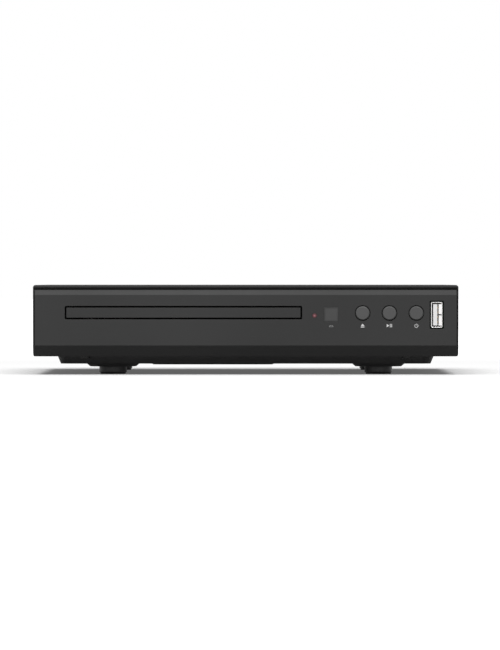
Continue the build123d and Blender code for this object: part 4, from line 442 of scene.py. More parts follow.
def winding_material():
    """Yellow tape wound over the coil, with the laps of the tape."""
    material, tree, shader = new_material("transformer_tape")
    up = add(tree, "ShaderNodeSeparateXYZ", {0: object_place(tree)}).outputs["Z"]
    wave = repeats(tree, up, TAPE_LAP)
    laps = spread(tree, wave, 0.7, 0.95)
    dress(tree, shader, plain_look((0.6, 0.42, 0.05, 1), 0.4, wear=0.3), laps)
    tint(tree, shader, calc(tree, "MULTIPLY", laps, 0.5), (0.33, 0.2, 0.02, 1))
    return material


def sleeve_material():
    """Dark shrink sleeve with a pale stripe of dashes on one side."""
    material, tree, shader = new_material("capacitor_sleeve")
    parts = add(tree, "ShaderNodeSeparateXYZ", {0: object_place(tree)}).outputs
    wave = repeats(tree, parts["X"], SLEEVE_STRIPE_STEP)
    dashes = repeats(tree, parts["Z"], SLEEVE_DASH_STEP)
    stripe = calc(tree, "MULTIPLY", spread(tree, wave, 0.88, 0.92), spread(tree, dashes, -0.5, -0.4))
    dress(tree, shader, plain_look((0.015, 0.025, 0.07, 1), 0.3, wear=0.2), streaks(tree, 300.0))
    tint(tree, shader, calc(tree, "MULTIPLY", stripe, 0.8), (0.55, 0.56, 0.58, 1))
    return material


def centred(tree, node):
    """Object coordinates of the front view, counted from the middle of a node."""
    at = middle(node)
    slots = {"Vector": object_place(tree), "Location": (-at.x, 0, -at.z)}
    place = add(tree, "ShaderNodeMapping", slots).outputs[0]
    return add(tree, "ShaderNodeVectorMath", {0: place, 1: (1, 0, 1)}, operation="MULTIPLY").outputs[0]


def lamp_material():
    """Frosted light pipe over a red lamp, with the lit lamp's glow painted in: pink in the middle, deep red to its
    rim.
    """
    material, tree, shader = new_material("lamp_plastic")
    slots = {0: centred(tree, "lamp_pipe")}
    away = add(tree, "ShaderNodeVectorMath", slots, operation="LENGTH").outputs["Value"]
    # Painted glow of the lit lamp: a pink core that fades to a darker red rim, by distance from the middle
    core = spread(tree, away, 0.15 * MM, 0.8 * MM, 1.0, 0.0)
    rim = spread(tree, away, 0.85 * MM, 1.2 * MM)
    dress(tree, shader, plain_look((0.125, 0.042, 0.048, 1), 0.4, wear=0.0), streaks(tree, 2000.0))
    tint(tree, shader, rim, (0.065, 0.036, 0.038, 1))
    tint(tree, shader, core, (0.32, 0.15, 0.17, 1))
    shader.inputs["Specular IOR Level"].default_value = 0.2
    return material


def window_material():
    """Smoked window that fades into the colour of the fascia at its border."""
    material, tree, shader = new_material("window_plastic")
    parts = add(tree, "ShaderNodeSeparateXYZ", {0: centred(tree, "ir_window")}).outputs
    reach = calc(tree, "MAXIMUM", calc(tree, "ABSOLUTE", parts["X"]), calc(tree, "ABSOLUTE", parts["Z"]))
    border = eased(tree, reach, 2.5 * MM, 3.9 * MM)
    dress(tree, shader, plain_look(grey(0.072), 0.4, wear=0.0, bump=0.05), streaks(tree, 500.0))
    tint(tree, shader, border, grey(0.042))
    shader.inputs["Specular IOR Level"].default_value = 0.2
    return material


def glass_material():
    """Coated glass of the pickup lens, violet that shifts to blue."""
    material, tree, shader = new_material("lens_glass")
    drift = use(
        tree,
        TONE_DRIFT,
        {
            "Colour": (0.75, 0.7, 0.95, 1),
            "Second Colour": (0.6, 0.75, 0.95, 1),
            "Scale": 300.0,
            "Roughness": 0.03,
            "Roughness Spread": 0.02,
        },
    )
    tree.links.new(drift["Colour"], shader.inputs["Base Color"])
    tree.links.new(drift["Roughness"], shader.inputs["Roughness"])
    shader.inputs["Transmission Weight"].default_value = 0.9
    shader.inputs["IOR"].default_value = LENS_IOR
    shader.inputs["Coat Weight"].default_value = 0.6
    return material


def finishes():
    """One material for each slot of the record."""
    dark = {"wear": 0.25, "dust": 0.02}
    return {
        "cover_paint": moulded("cover_paint", plain_look(grey(0.026), 0.5, grain=1500.0, bump=0.35, **dark), 0.35),
        # The pan's black paint is much lighter than the cover's as painted light: it stands in for light that the
        # shaded pan front does not get
        "pan_paint": moulded("pan_paint", plain_look(grey(0.075), 0.5, grain=1500.0, bump=0.25, **dark), 0.25),
        "fascia_plastic": moulded("fascia_plastic", plain_look(grey(0.0445), 0.5, drift=9.0, **dark), 0.12),
        "button_plastic": moulded("button_plastic", plain_look(grey(0.094), 0.42, **dark), 0.2),
        # The feet's plastic is lightened as painted light, for light that they do not get in the shade under the
        # player
        "foot_plastic": moulded("foot_plastic", plain_look(grey(0.035), 0.4, **dark), 0.5),
        "foot_rubber": moulded("foot_rubber", plain_look(grey(0.012), 0.8, grain=1800.0), 0.2),
        "window_plastic": window_material(),
        "lamp_plastic": lamp_material(),
        "lamp_red": clear_plastic("lamp_red", (0.6, 0.03, 0.03, 1), 0.4, 0.2),
        "switch_plastic": moulded("switch_plastic", plain_look(grey(0.03), 0.5)),
        "receiver_plastic": clear_plastic("receiver_plastic", (0.012, 0.008, 0.01, 1), 0.1, 0.15),
        "host_insulator": moulded("host_insulator", plain_look(grey(0.9, 1.005), 0.42, grain=3000.0)),
        "tray_plastic": moulded("tray_plastic", plain_look(grey(0.022), 0.48, **dark), 0.35),
        "loader_plastic": moulded("loader_plastic", plain_look(grey(0.026, 0.98), 0.5, grain=1800.0), 0.4),
        "gear_plastic": moulded("gear_plastic", plain_look(grey(0.68, 1.03), 0.38, grain=2200.0, bump=0.12)),
        "belt_rubber": moulded("belt_rubber", plain_look(grey(0.014), 0.75, grain=3000.0), 0.2),
        "traverse_plastic": moulded("traverse_plastic", plain_look(grey(0.04), 0.55, grain=1400.0)),
        "turntable_plastic": moulded("turntable_plastic", plain_look(grey(0.05), 0.4)),
        "holder_plastic": moulded("holder_plastic", plain_look(grey(0.016), 0.45)),
        "lens_glass": glass_material(),
        "board_green": board_material(),
        "chip_black": moulded("chip_black", plain_look(grey(0.014), 0.6, grain=4000.0), 0.35),
        "capacitor_sleeve": sleeve_material(),
        "transformer_tape": winding_material(),
        "inlet_plastic": moulded("inlet_plastic", plain_look(grey(0.015), 0.4), 0.4),
        "jack_yellow": moulded("jack_yellow", plain_look((0.78, 0.46, 0.015, 1), 0.32, bump=0.1), coat=0.2),
        "jack_white": moulded("jack_white", plain_look(grey(0.76, 1.01), 0.32, bump=0.1), coat=0.2),
        "jack_red": moulded("jack_red", plain_look((0.52, 0.012, 0.015, 1), 0.32, bump=0.1), coat=0.2),
        "lead_plastic": ribbon_material(),
        "screw_steel": metal("screw_steel", plain_look(grey(0.035), 0.42)),
        "socket_nickel": metal("socket_nickel", plain_look((0.7, 0.69, 0.66, 1), 0.28, bump=0.08)),
        "motor_steel": metal("motor_steel", plain_look(grey(0.52, 1.01), 0.34), (1, 1, 0.05)),
        "rod_steel": metal("rod_steel", plain_look(grey(0.6), 0.2, bump=0.1)),
        "sled_metal": metal("sled_metal", plain_look(grey(0.42), 0.5, grain=1500.0), (1, 1, 1)),
        "sink_metal": metal("sink_metal", plain_look(grey(0.6), 0.36), (1, 1, 0.05)),
    }


FINISH = finishes()
BRIGHT_NICKEL = metal("bright_nickel", plain_look((0.94, 0.93, 0.92, 1), 0.3, bump=0.08))
GOLD = metal("contact_gold", plain_look((0.78, 0.52, 0.18, 1), 0.25, bump=0.08))
INK = moulded("print_ink", plain_look(grey(0.74), 0.55, grain=3000.0, bump=0.05), 0.2)
FAINT_INK = moulded("faint_print_ink", plain_look(grey(0.27), 0.55, grain=3000.0, bump=0.05), 0.2)
TIN = metal("solder_tin", plain_look(grey(0.62), 0.3, bump=0.2), (1, 1, 1))


def dress_nodes():
    """The finish of each node of the part."""
    for entry in frame["record"]["subparts"]:
        node = frame["nodes"][entry["node"]]
        material = FINISH[entry["material_slot"]]
        if entry["node"] == "host_shell":
            material = BRIGHT_NICKEL
        if not node.material_slots:
            node.data.materials.append(material)
        for place in node.material_slots:
            place.material = material


# Meshes
def piece(name, mesh, body, slot, *materials):
    """A finished mesh as a piece that rides on a body."""
    made = bpy.data.objects.new(name, mesh)
    scene.collection.objects.link(made)
    for material in materials:
        mesh.materials.append(material)
    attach(made, body)
    return made


def to_mesh(shape, name):
    bmesh.ops.recalc_face_normals(shape, faces=shape.faces)
    mesh = bpy.data.meshes.new(name)
    shape.to_mesh(mesh)
    shape.free()
    return mesh


def bar(shape, low, high, rounding):
    """A bar between two corners, with its edges rounded."""
    low, high = Vector(low), Vector(high)
    placed = Matrix.Translation((low + high) / 2) @ Matrix.Diagonal((high - low).to_4d())
    made = bmesh.ops.create_cube(shape, size=1.0, matrix=placed)
    edges = {edge for vert in made["verts"] for edge in vert.link_edges}
    bmesh.ops.bevel(shape, geom=list(edges), offset=rounding, segments=2, affect="EDGES")


def flat_shape(shape, points, y, thick):
    """A closed outline of the front view as a thin plate in front of a plane."""
    back = [shape.verts.new((x, y, z)) for x, z in points]
    front = [shape.verts.new((x, y - thick, z)) for x, z in points]
    shape.faces.new(front)
    shape.faces.new(back[::-1])
    count = len(points)
    for i in range(count):
        j = (i + 1) % count
        shape.faces.new((front[j], front[i], back[i], back[j]))


def prism(shape, plan, low, high):
    """An upright block over a closed plan."""
    bottom = [shape.verts.new((x, y, low)) for x, y in plan]
    top = [shape.verts.new((x, y, high)) for x, y in plan]
    shape.faces.new(top)
    shape.faces.new(bottom[::-1])
    for i in range(len(plan)):
        j = (i + 1) % len(plan)
        shape.faces.new((bottom[i], bottom[j], top[j], top[i]))


def arc_band(shape, x, z, radius, width, start, end, y):
    """A band that follows an arc of the front view."""
    angles = [radians(start + (end - start) * i / ARC_STEPS) for i in range(ARC_STEPS + 1)]
    outer = [(x + (radius + width / 2) * cos(a), z + (radius + width / 2) * sin(a)) for a in angles]
    inner = [(x + (radius - width / 2) * cos(a), z + (radius - width / 2) * sin(a)) for a in angles]
    flat_shape(shape, outer + inner[::-1], y, PRINT)


def front_symbols():
    """Printed marks under the buttons (eject, play and pause, power) and under the window."""
    shape = bmesh.new()
    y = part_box("tray_door")[0][1]
    eject, play, power = (middle(name).x for name in BUTTONS)
    half, z = SYMBOL_HALF, SYMBOL_Z
    left, right, low = eject - half, eject + half, z - half * 0.3
    flat_shape(shape, [(left, low), (right, low), (eject, z + half)], y, PRINT)
    low, high = z - half, z - half * 0.55
    flat_shape(shape, [(left, low), (right, low), (right, high), (left, high)], y, PRINT)
    left, low, high = play - half * 1.45, z - half * 0.85, z + half * 0.85
    flat_shape(shape, [(left, low), (left + half * 1.45, z), (left, high)], y, PRINT)
    for i in (0, 1):
        a = play + half * (0.2 + i * 0.75)
        b = a + half * 0.4
        flat_shape(shape, [(a, low), (b, low), (b, high), (a, high)], y, PRINT)
    arc_band(shape, power, z - half * 0.1, half * 0.85, half * 0.3, *POWER_ARC, y)
    a, b = power - half * 0.15, power + half * 0.15
    flat_shape(shape, [(a, z), (b, z), (b, z + half), (a, z + half)], y, PRINT)
    piece("front_symbols", to_mesh(shape, "front_symbols"), "chassis", "host_insulator", INK)
    shape = bmesh.new()
    x = middle("ir_window").x
    for side in (-1, 1):
        arc_band(shape, x + side * REMOTE_HALF, REMOTE_Z, REMOTE_RADIUS, REMOTE_WIDTH, *REMOTE_ARC, y)
    piece("remote_mark", to_mesh(shape, "remote_mark"), "chassis", "host_insulator", FAINT_INK)


def host_contacts():
    """Four contacts along the tongue of the host socket and two springs on the wall across from it."""
    tongue_front, tongue_back = (v[1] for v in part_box("host_tongue"))
    centre = middle("host_shell")
    front, back = tongue_front + CONTACT_START, tongue_back - CONTACT_END
    face = centre.x - TONGUE_SHIFT + TONGUE_HALF
    shape = bmesh.new()
    for offset in CONTACT_HEIGHTS:
        z = centre.z + offset * MM
        low, high = z - CONTACT_HALF, z + CONTACT_HALF
        bar(shape, (face - CONTACT_SINK, front, low), (face + CONTACT_RISE, back, high), CONTACT_ROUND)
        low, high = z - BUMP_HALF, z + BUMP_HALF
        start, end = (front + reach * MM for reach in BUMP_REACH)
        bar(shape, (face, start, low), (face + BUMP_RISE, end, high), BUMP_ROUND)
    piece("host_contacts", to_mesh(shape, "host_contacts"), "chassis", "socket_nickel", GOLD)
    shape = bmesh.new()
    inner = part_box("host_shell")[1][0] - SHELL_WALL
    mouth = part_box("host_shell")[0][1]
    for offset in SPRING_HEIGHTS:
        z = centre.z + offset * MM
        for (x0, y0), (x1, y1) in zip(SPRING_PLAN, SPRING_PLAN[1:]):
            a = (inner + x0 * MM, mouth + y0 * MM)
            b = (inner + x1 * MM, mouth + y1 * MM)
            ribbon(shape, a, b, z - SPRING_HALF, z + SPRING_HALF, SPRING_THICK)
    piece("host_springs", to_mesh(shape, "host_springs"), "chassis", "socket_nickel", BRIGHT_NICKEL)


def ribbon(shape, start, end, low, high, thick):
    """A straight length of spring strip between two points of the plan."""
    start, end = Vector(start), Vector(end)
    along = (end - start).normalized()
    side = Vector((-along.y, along.x)) * thick / 2
    prism(shape, [start + side, end + side, end - side, start - side], low, high)


def switch_plates():
    """Steel plates on the tact switches, each with its four rivets."""
    shape = bmesh.new()
    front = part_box("tact_switches")[0][1]
    ring = [radians(360 * i / PLATE_STEPS) for i in range(PLATE_STEPS)]
    for name in BUTTONS:
        at = middle(name)

        def border(a):
            reach = PLATE_HALF / max(abs(cos(a)), abs(sin(a)))
            return (at.x + reach * cos(a), at.z + reach * sin(a))

        for i in range(PLATE_STEPS):
            a, b = ring[i], ring[(i + 1) % PLATE_STEPS]
            hole = [(at.x + PLATE_HOLE * cos(v), at.z + PLATE_HOLE * sin(v)) for v in (b, a)]
            flat_shape(shape, [border(a), border(b)] + hole, front, PLATE_THICK)
        for sx in (-1, 1):
            for sz in (-1, 1):
                x, z = at.x + sx * RIVET_OFF, at.z + sz * RIVET_OFF
                dot = [(x + RIVET_RADIUS * cos(a), z + RIVET_RADIUS * sin(a)) for a in ring[::2]]
                flat_shape(shape, dot, front - PLATE_THICK, RIVET_HIGH)
    bmesh.ops.remove_doubles(shape, verts=shape.verts, dist=0.001 * MM)
    piece("switch_plates", to_mesh(shape, "switch_plates"), "chassis", "motor_steel", FINISH["motor_steel"])


def can_tops():
    """Aluminium tops of the capacitors, scored with a cross."""
    shape = bmesh.new()
    corner = Vector(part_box("main_board")[0])
    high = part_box("main_board")[1][2] + CAN_HIGH
    cans = [(corner.x + x * MM, corner.y + y * MM, high, CAN_RADIUS) for x, y in CAN_PLACES]
    mains_x = middle("tray_door").x - MAINS_CAN_LEFT
    cans.append((mains_x, middle("power_board").y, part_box("capacitors")[1][2], MAINS_CAN_RADIUS))
    for x, y, z, radius in cans:
        reach = radius * TOP_SHARE
        for quarter in range(4):
            start = quarter * pi / 2
            turn = start + pi / 4
            cx, cy = x + TOP_GAP * cos(turn), y + TOP_GAP * sin(turn)
            angles = [start + pi / 2 * i / TOP_STEPS for i in range(TOP_STEPS + 1)]
            plan = [(cx, cy)] + [(cx + reach * cos(a), cy + reach * sin(a)) for a in angles]
            prism(shape, plan, z - TOP_SINK, z + TOP_RISE)
    piece("can_tops", to_mesh(shape, "can_tops"), "chassis", "sink_metal", FINISH["sink_metal"])


def joint_placing(name):
    """The joint's own place, with its axis as +Z."""
    joint = [j for j in frame["record"]["behaviour"]["joints"] if j["name"] == name][0]
    axis = Vector(joint["axis"]).normalized()
    return Matrix.Translation(joint["pos_m"]) @ axis.to_track_quat("Z", "X").to_matrix().to_4x4()


def turntable_pad():
    """Rubber ring that the disc rests on."""
    shape = bmesh.new()
    rings = []
    for i in range(RING_STEPS):
        a = 2 * pi * i / RING_STEPS
        rings.append([shape.verts.new((r * MM * cos(a), r * MM * sin(a), z * MM)) for r, z in RING_PROFILE])
    for i in range(RING_STEPS):
        here, after = rings[i], rings[(i + 1) % RING_STEPS]
        for k in range(len(RING_PROFILE)):
            n = (k + 1) % len(RING_PROFILE)
            shape.faces.new((here[k], after[k], after[n], here[n]))
    bmesh.ops.transform(shape, matrix=joint_placing("turntable_spin"), verts=shape.verts)
    piece("turntable_pad", to_mesh(shape, "turntable_pad"), "turntable", "foot_rubber", FINISH["foot_rubber"])


# Geometry Nodes
def geometry_tree(name, inputs):
    """An empty geometry tree with its named inputs and a material."""
    tree = bpy.data.node_groups.new(name, "GeometryNodeTree")
    tree.interface.new_socket("Geometry", in_out="INPUT", socket_type=GEOMETRY)
    for label, kind, value in inputs:
        tree.interface.new_socket(label, in_out="INPUT", socket_type=kind).default_value = value
    tree.interface.new_socket("Material", in_out="INPUT", socket_type=MATERIAL)
    tree.interface.new_socket("Geometry", in_out="OUTPUT", socket_type=GEOMETRY)
    return tree, add(tree, "NodeGroupInput").outputs, add(tree, "NodeGroupOutput").inputs


def finish_tree(tree, given, result, geometry):
    whole = add(tree, "GeometryNodeRealizeInstances", {0: geometry}).outputs[0]
    set_all = add(tree, "GeometryNodeSetMaterial", {"Geometry": whole, "Material": given["Material"]})
    tree.links.new(set_all.outputs[0], result["Geometry"])


def moved(tree, geometry, offset):
    return add(tree, "GeometryNodeTransform", {"Geometry": geometry, "Translation": offset}).outputs[0]


def lifted(tree, z):
    return add(tree, "ShaderNodeCombineXYZ", {"Z": z}).outputs[0]


def sized(tree, x, y, z):
    return add(tree, "ShaderNodeCombineXYZ", {"X": x, "Y": y, "Z": z}).outputs[0]


def block(tree, x, y, z):
    return add(tree, "GeometryNodeMeshCube", {"Size": sized(tree, x, y, z)}).outputs[0]


def cylinder(tree, vertices, radius, depth):
    slots = {"Vertices": vertices, "Radius": radius, "Depth": depth}
    return add(tree, "GeometryNodeMeshCylinder", slots).outputs[0]


def joined(tree, *parts):
    node = add(tree, "GeometryNodeJoinGeometry")
    for part in parts:
        tree.links.new(part, node.inputs[0])
    return node.outputs[0]


def on_points(tree, points, shape):
    """The shape on each point, turned as the point says."""
    turn = add(tree, "GeometryNodeInputNamedAttribute", {"Name": "turn"}, data_type="FLOAT_VECTOR").outputs[0]
    slots = {"Points": points, "Instance": shape, "Rotation": turn}
    return add(tree, "GeometryNodeInstanceOnPoints", slots).outputs[0]


def point_mesh(name, places):
    """Points with the turn that each carries: (place, Euler turn)."""
    mesh = bpy.data.meshes.new(name)
    mesh.from_pydata([tuple(at) for at, _ in places], [], [])
    turns = mesh.attributes.new("turn", "FLOAT_VECTOR", "POINT")
    for i, (_, turn) in enumerate(places):
        turns.data[i].vector = tuple(turn)
    return mesh


def grown(name, tree, mesh, values):
    """The plain mesh that a geometry tree makes from a mesh and named values."""
    holder = bpy.data.objects.new(name + "_source", mesh)
    scene.collection.objects.link(holder)
    modifier = holder.modifiers.new("tree", "NODES")
    modifier.node_group = tree
    for item in tree.interface.items_tree:
        if item.in_out == "INPUT" and item.name in values:
            modifier[item.identifier] = values[item.name]
    bpy.context.view_layer.update()
    seen = holder.evaluated_get(bpy.context.evaluated_depsgraph_get())
    result = bpy.data.meshes.new_from_object(seen)
    result.name = name
    bpy.data.objects.remove(holder)
    return result


def screw_tree():
    """Cross recessed pan head screws on points."""
    inputs = [
        ("Head Radius", FLOAT, 2.3 * MM),
        ("Head Height", FLOAT, 1.5 * MM),
        ("Shank Radius", FLOAT, 1.2 * MM),
        ("Shank Length", FLOAT, 5 * MM),
        ("Recess Length", FLOAT, 2.4 * MM),
        ("Recess Width", FLOAT, 0.55 * MM),
    ]
    tree, given, result = geometry_tree("cross_head_screws", inputs)
    half = calc(tree, "MULTIPLY", given["Head Height"], 0.5)
    rim = cylinder(tree, 28, given["Head Radius"], half)
    rim = moved(tree, rim, lifted(tree, calc(tree, "MULTIPLY", half, 0.5)))
    top = calc(tree, "MULTIPLY", given["Head Radius"], 0.66)
    crown = add(
        tree,
        "GeometryNodeMeshCone",
        {"Vertices": 28, "Radius Top": top, "Radius Bottom": given["Head Radius"], "Depth": half},
    )
    crown = moved(tree, crown.outputs[0], lifted(tree, half))
    length, width = given["Recess Length"], given["Recess Width"]
    depth = given["Head Height"]
    cuts = []
    for cut in (block(tree, length, width, depth), block(tree, width, length, depth)):
        cuts.append(moved(tree, cut, lifted(tree, depth)))
    recessed = add(tree, "GeometryNodeMeshBoolean", operation="DIFFERENCE")
    tree.links.new(crown, recessed.inputs["Mesh 1"])
    for cut in cuts:
        tree.links.new(cut, recessed.inputs["Mesh 2"])
    shank = cylinder(tree, 16, given["Shank Radius"], given["Shank Length"])
    shank = moved(tree, shank, lifted(tree, calc(tree, "MULTIPLY", given["Shank Length"], -0.5)))
    screw = joined(tree, rim, recessed.outputs[0], shank)
    finish_tree(tree, given, result, on_points(tree, given["Geometry"], screw))
    return tree


def tilted(tilt_deg, spin_deg):
    """Euler turn of a screw that is spun about its own axis and then tilted about X."""
    whole = Matrix.Rotation(radians(tilt_deg), 4, "X") @ Matrix.Rotation(radians(spin_deg), 4, "Z")
    return whole.to_euler()


def screws():
    """The screws of the case and those inside, in place of the plain ones."""
    tree = screw_tree()
    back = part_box("top_cover")[1][1]
    rear = [((x * MM, back, CASE_SCREW_Z * MM), tilted(-90, spin)) for x, spin in CASE_SCREWS]
    board_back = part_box("front_board")[1][1]
    board_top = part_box("main_board")[1][2] / MM
    inside = [((x * MM, PAN_SCREW_Y * MM, PAN_SCREW_Z * MM), tilted(180, x)) for x in PAN_SCREWS]
    inside += [((x * MM, board_back, z * MM), tilted(-90, x)) for x, z in FRONT_BOARD_SCREWS]
    upright = LOADER_SCREWS + BRIDGE_SCREWS
    upright += [(x, y, board_top) for x, y in MAIN_BOARD_SCREWS + POWER_BOARD_SCREWS]
    inside += [((x * MM, y * MM, z * MM), tilted(0, x + y)) for x, y, z in upright]
    steel = FINISH["screw_steel"]
    for name, node, places in (("case_screws", "cover_screws", rear), ("fixing_screws", "inner_screws", inside)):
        mesh = grown(name, tree, point_mesh(name + "_points", places), {"Material": steel})
        made = piece(name, mesh, "chassis", "screw_steel")
        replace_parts(made, node)


def thread_tree():
    """Lead screw along +Z: core, rounded thread and a journal at each end."""
    inputs = [
        ("Length", FLOAT, 64 * MM),
        ("Pitch", FLOAT, 3 * MM),
        ("Core Radius", FLOAT, 1.05 * MM),
        ("Crest", FLOAT, 0.35 * MM),
        ("Journal Radius", FLOAT, 1.45 * MM),
        ("Journal Length", FLOAT, 4.8 * MM),
    ]
    tree, given, result = geometry_tree("lead_thread", inputs)
    turns = calc(tree, "DIVIDE", given["Length"], given["Pitch"])
    spiral = add(
        tree,
        "GeometryNodeCurveSpiral",
        {
            "Resolution": 28,
            "Rotations": turns,
            "Start Radius": given["Core Radius"],
            "End Radius": given["Core Radius"],
            "Height": given["Length"],
        },
    )
    profile = add(tree, "GeometryNodeCurvePrimitiveCircle", {"Resolution": 8, "Radius": given["Crest"]})
    slots = {"Curve": spiral.outputs[0], "Profile Curve": profile.outputs[0], "Fill Caps": True}
    thread = add(tree, "GeometryNodeCurveToMesh", slots).outputs[0]
    core = cylinder(tree, 24, given["Core Radius"], given["Length"])
    core = moved(tree, core, lifted(tree, calc(tree, "MULTIPLY", given["Length"], 0.5)))
    ends = []
    half = calc(tree, "MULTIPLY", given["Journal Length"], 0.5)
    for far in (calc(tree, "MULTIPLY", half, -1.0), calc(tree, "ADD", given["Length"], half)):
        end = cylinder(tree, 32, given["Journal Radius"], given["Journal Length"])
        ends.append(moved(tree, end, lifted(tree, far)))
    finish_tree(tree, given, result, joined(tree, thread, core, *ends))
    return tree


def lead_screw():
    """The lead screw with its thread, in place of the plain one."""
    empty = bpy.data.meshes.new("lead_thread_source")
    mesh = grown("lead_thread", thread_tree(), empty, {"Length": LEAD_LENGTH, "Material": FINISH["rod_steel"]})
    mesh.transform(joint_placing("lead_screw_spin"))
    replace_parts(piece("lead_thread", mesh, "lead_screw", "rod_steel"), "lead_screw")


def leads_tree():
    """Bent leads of the chips on points: shoulder, leg and foot."""
    inputs = [
        ("Width", FLOAT, 0.35 * MM),
        ("Thickness", FLOAT, 0.15 * MM),
        ("Shoulder", FLOAT, 0.5 * MM),
        ("Drop", FLOAT, 0.8 * MM),
        ("Foot", FLOAT, 0.7 * MM),
    ]
    tree, given, result = geometry_tree("chip_leads", inputs)
    wide, thick = given["Width"], given["Thickness"]
    shoulder = block(tree, given["Shoulder"], wide, thick)
    middle_x = calc(tree, "MULTIPLY", given["Shoulder"], 0.5)
    shoulder = moved(tree, shoulder, sized(tree, middle_x, 0.0, given["Drop"]))
    leg = block(tree, thick, wide, given["Drop"])
    leg = moved(tree, leg, sized(tree, given["Shoulder"], 0.0, calc(tree, "MULTIPLY", given["Drop"], 0.5)))
    foot = block(tree, given["Foot"], wide, thick)
    reach = calc(tree, "ADD", given["Shoulder"], calc(tree, "MULTIPLY", given["Foot"], 0.5))
    foot = moved(tree, foot, sized(tree, reach, 0.0, calc(tree, "MULTIPLY", thick, 0.5)))
    finish_tree(tree, given, result, on_points(tree, given["Geometry"], joined(tree, shoulder, leg, foot)))
    return tree


def chip_leads():
    """Leads of the chips of the main board."""
    corner = Vector(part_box("main_board")[0])
    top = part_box("main_board")[1][2]
    chips = [LARGE_CHIP] + [place + SMALL_CHIP for place in SMALL_CHIP_PLACES]
    places = []
    for x, y, half_x, half_y, count, sides in chips:
        at = Vector((corner.x + x * MM, corner.y + y * MM, top))
        for side in range(0, 4, 4 // sides):
            turn = side * pi / 2
            reach = half_x if side % 2 == 0 else half_y
            run = half_y if side % 2 == 0 else half_x
            for i in range(count):
                along = (i - (count - 1) / 2) * (run * 2 - LEAD_MARGIN) / (count - 1)
                out = Vector((cos(turn), sin(turn), 0)) * reach * MM
                over = Vector((-sin(turn), cos(turn), 0)) * along * MM
                places.append((at + out + over, (0, 0, turn)))
    mesh = grown("chip_leads", leads_tree(), point_mesh("chip_lead_points", places), {"Material": TIN})
    piece("chip_leads", mesh, "chassis", "socket_nickel")


def parts_tree():
    """Small surface parts scattered on a board, each a body between two plated ends."""
    inputs = [
        ("Spacing", FLOAT, 3.2 * MM),
        ("Density", FLOAT, 60000),
        ("Seed", INTEGER, 7),
        ("Length", FLOAT, 1.6 * MM),
        ("Width", FLOAT, 0.8 * MM),
        ("Height", FLOAT, 0.5 * MM),
        ("End", FLOAT, 0.3 * MM),
        ("End Material", MATERIAL, None),
    ]
    tree, given, result = geometry_tree("surface_parts", inputs)
    scatter = add(
        tree,
        "GeometryNodeDistributePointsOnFaces",
        {
            "Mesh": given["Geometry"],
            "Distance Min": given["Spacing"],
            "Density Max": given["Density"],
            "Seed": given["Seed"],
        },
        distribute_method="POISSON",
    )
    rise = calc(tree, "MULTIPLY", given["Height"], 0.5)
    body = block(tree, given["Length"], given["Width"], given["Height"])
    body = moved(tree, body, lifted(tree, rise))
    caps = []
    wide = calc(tree, "MULTIPLY", given["Width"], 1.06)
    tall = calc(tree, "MULTIPLY", given["Height"], 1.08)
    for side in (-0.5, 0.5):
        cap = block(tree, given["End"], wide, tall)
        caps.append(moved(tree, cap, sized(tree, calc(tree, "MULTIPLY", given["Length"], side), 0.0, rise)))
    ends = add(
        tree,
        "GeometryNodeStoreNamedAttribute",
        {"Geometry": joined(tree, *caps), "Name": "end", "Value": True},
        data_type="BOOLEAN",
        domain="FACE",
    ).outputs[0]
    slots = {2: 0.0, 3: 1.999, "Seed": given["Seed"]}
    pick = add(tree, "FunctionNodeRandomValue", slots, data_type="FLOAT").outputs[1]
    quarter = calc(tree, "MULTIPLY", calc(tree, "FLOOR", pick), pi / 2)
    slots = {
        "Points": scatter.outputs["Points"],
        "Instance": joined(tree, body, ends),
        "Rotation": sized(tree, 0.0, 0.0, quarter),
    }
    spread_parts = add(tree, "GeometryNodeInstanceOnPoints", slots).outputs[0]
    whole = add(tree, "GeometryNodeRealizeInstances", {0: spread_parts}).outputs[0]
    bodies = add(tree, "GeometryNodeSetMaterial", {"Geometry": whole, "Material": given["Material"]}).outputs[0]
    is_end = add(tree, "GeometryNodeInputNamedAttribute", {"Name": "end"}, data_type="BOOLEAN").outputs[0]
    slots = {"Geometry": bodies, "Selection": is_end, "Material": given["End Material"]}
    tree.links.new(add(tree, "GeometryNodeSetMaterial", slots).outputs[0], result["Geometry"])
    return tree


def field_mesh(name, fields):
    """Flat fields, each four corners, that face the way their corners run."""
    mesh = bpy.data.meshes.new(name)
    points = [corner for field in fields for corner in field]
    mesh.from_pydata(points, [], [tuple(range(i * 4, i * 4 + 4)) for i in range(len(fields))])
    return mesh


def surface_parts():
    """Resistors and small capacitors on the free fields of the main board."""
    low, high = (Vector(v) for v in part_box("main_board"))
    fields = []
    for left, right, front, back in FREE_FIELDS:
        corners = ((left, front), (right, front), (right, back), (left, back))
        fields.append([(low.x + x * MM, low.y + y * MM, high.z) for x, y in corners])
    values = {"Material": FINISH["chip_black"], "End Material": TIN}
    mesh = grown("main_board_parts", parts_tree(), field_mesh("main_fields", fields), values)
    piece("main_board_parts", mesh, "chassis", "chip_black")


dress_nodes()
front_symbols()
host_contacts()
switch_plates()
can_tops()
turntable_pad()
screws()
lead_screw()
chip_leads()
surface_parts()


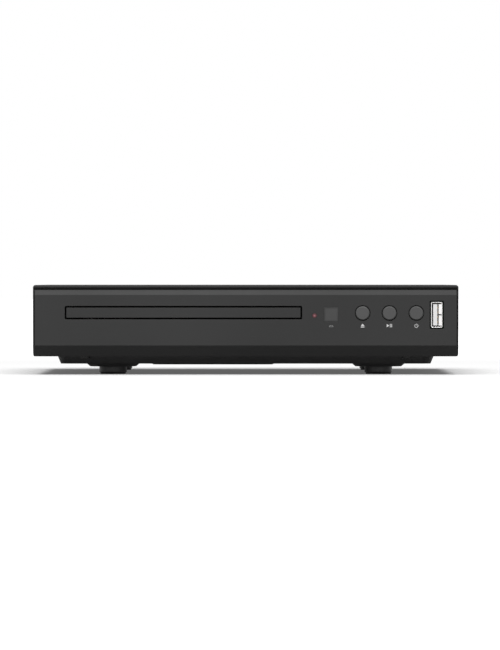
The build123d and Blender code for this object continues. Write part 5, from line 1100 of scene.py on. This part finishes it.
# Studio
def studio_floor():
    """Plain pale floor that keeps the shadow of the object and turns into the white background."""
    mesh = bpy.data.meshes.new("floor")
    corners = [(-1, -1), (1, -1), (1, 1), (-1, 1)]
    mesh.from_pydata([(x * FLOOR_REACH, y * FLOOR_REACH, 0) for x, y in corners], [], [(0, 1, 2, 3)])
    floor = bpy.data.objects.new("floor", mesh)
    scene.collection.objects.link(floor)
    material = bpy.data.materials.new("studio_floor")
    material.use_nodes = True
    tree = material.node_tree
    tree.nodes.clear()
    pale = add(tree, "ShaderNodeBsdfDiffuse", {"Color": FLOOR_PALE}).outputs[0]
    away = add(tree, "ShaderNodeVectorMath", {0: object_place(tree)}, operation="LENGTH").outputs["Value"]
    strength = eased(tree, away, FADE_FROM, FADE_TO, FLOOR_GLOW, 1.0)
    glow = add(tree, "ShaderNodeEmission", {"Color": WHITE, "Strength": strength}).outputs[0]
    shown = add(tree, "ShaderNodeAddShader", {0: pale, 1: glow}).outputs[0]
    bounce = add(tree, "ShaderNodeBsdfDiffuse", {"Color": FLOOR_BOUNCE}).outputs[0]
    chosen = add(tree, "ShaderNodeMixShader", {0: seen_ray(tree), 1: bounce, 2: shown}).outputs[0]
    add(tree, "ShaderNodeOutputMaterial", {"Surface": chosen})
    mesh.materials.append(material)


def seen_ray(tree):
    """1 for what the camera sees, by itself or in a metal or glass."""
    path = add(tree, "ShaderNodeLightPath").outputs
    first = calc(tree, "MAXIMUM", path["Is Camera Ray"], path["Is Glossy Ray"])
    return calc(tree, "MAXIMUM", first, path["Is Transmission Ray"])


def studio_world():
    """Even fill light, and white where the camera sees the world."""
    world = bpy.data.worlds.new("studio")
    scene.world = world
    world.use_nodes = True
    tree = world.node_tree
    tree.nodes.clear()
    fill = add(tree, "ShaderNodeBackground", {"Color": WHITE, "Strength": FILL_LIGHT})
    white = add(tree, "ShaderNodeBackground", {"Color": WHITE, "Strength": 1.0})
    chosen = add(tree, "ShaderNodeMixShader", {0: seen_ray(tree), 1: fill.outputs[0], 2: white.outputs[0]})
    add(tree, "ShaderNodeOutputWorld", {"Surface": chosen.outputs[0]})


def softbox(name, place, aim, width, height, power):
    """A soft lamp that looks from its place at its aim."""
    light = bpy.data.lights.new(name, "AREA")
    light.shape = "RECTANGLE"
    light.size, light.size_y = width, height
    light.energy = power
    lamp = bpy.data.objects.new(name, light)
    scene.collection.objects.link(lamp)
    lamp.matrix_world = facing(place, aim)


def facing(place, aim):
    """A place turned so that -Z looks at the aim."""
    way = Vector(aim) - Vector(place)
    return Matrix.Translation(place) @ way.to_track_quat("-Z", "Y").to_matrix().to_4x4()


def studio_camera():
    camera = bpy.data.cameras.new("camera")
    camera.lens = CAMERA_LENS
    camera.clip_end = CAMERA_FAR
    holder = bpy.data.objects.new("camera", camera)
    scene.collection.objects.link(holder)
    holder.matrix_world = facing(CAMERA_AT, CAMERA_AIM)
    scene.camera = holder


studio_floor()
studio_world()
softbox("front_softbox", place=(0, -1.8, 2.0), aim=(0, 0, 0.03), width=2.6, height=1.2, power=84)
softbox("back_softbox", place=(0, 0.7, 1.8), aim=(0, 0, 0), width=2.6, height=1.2, power=22)
studio_camera()
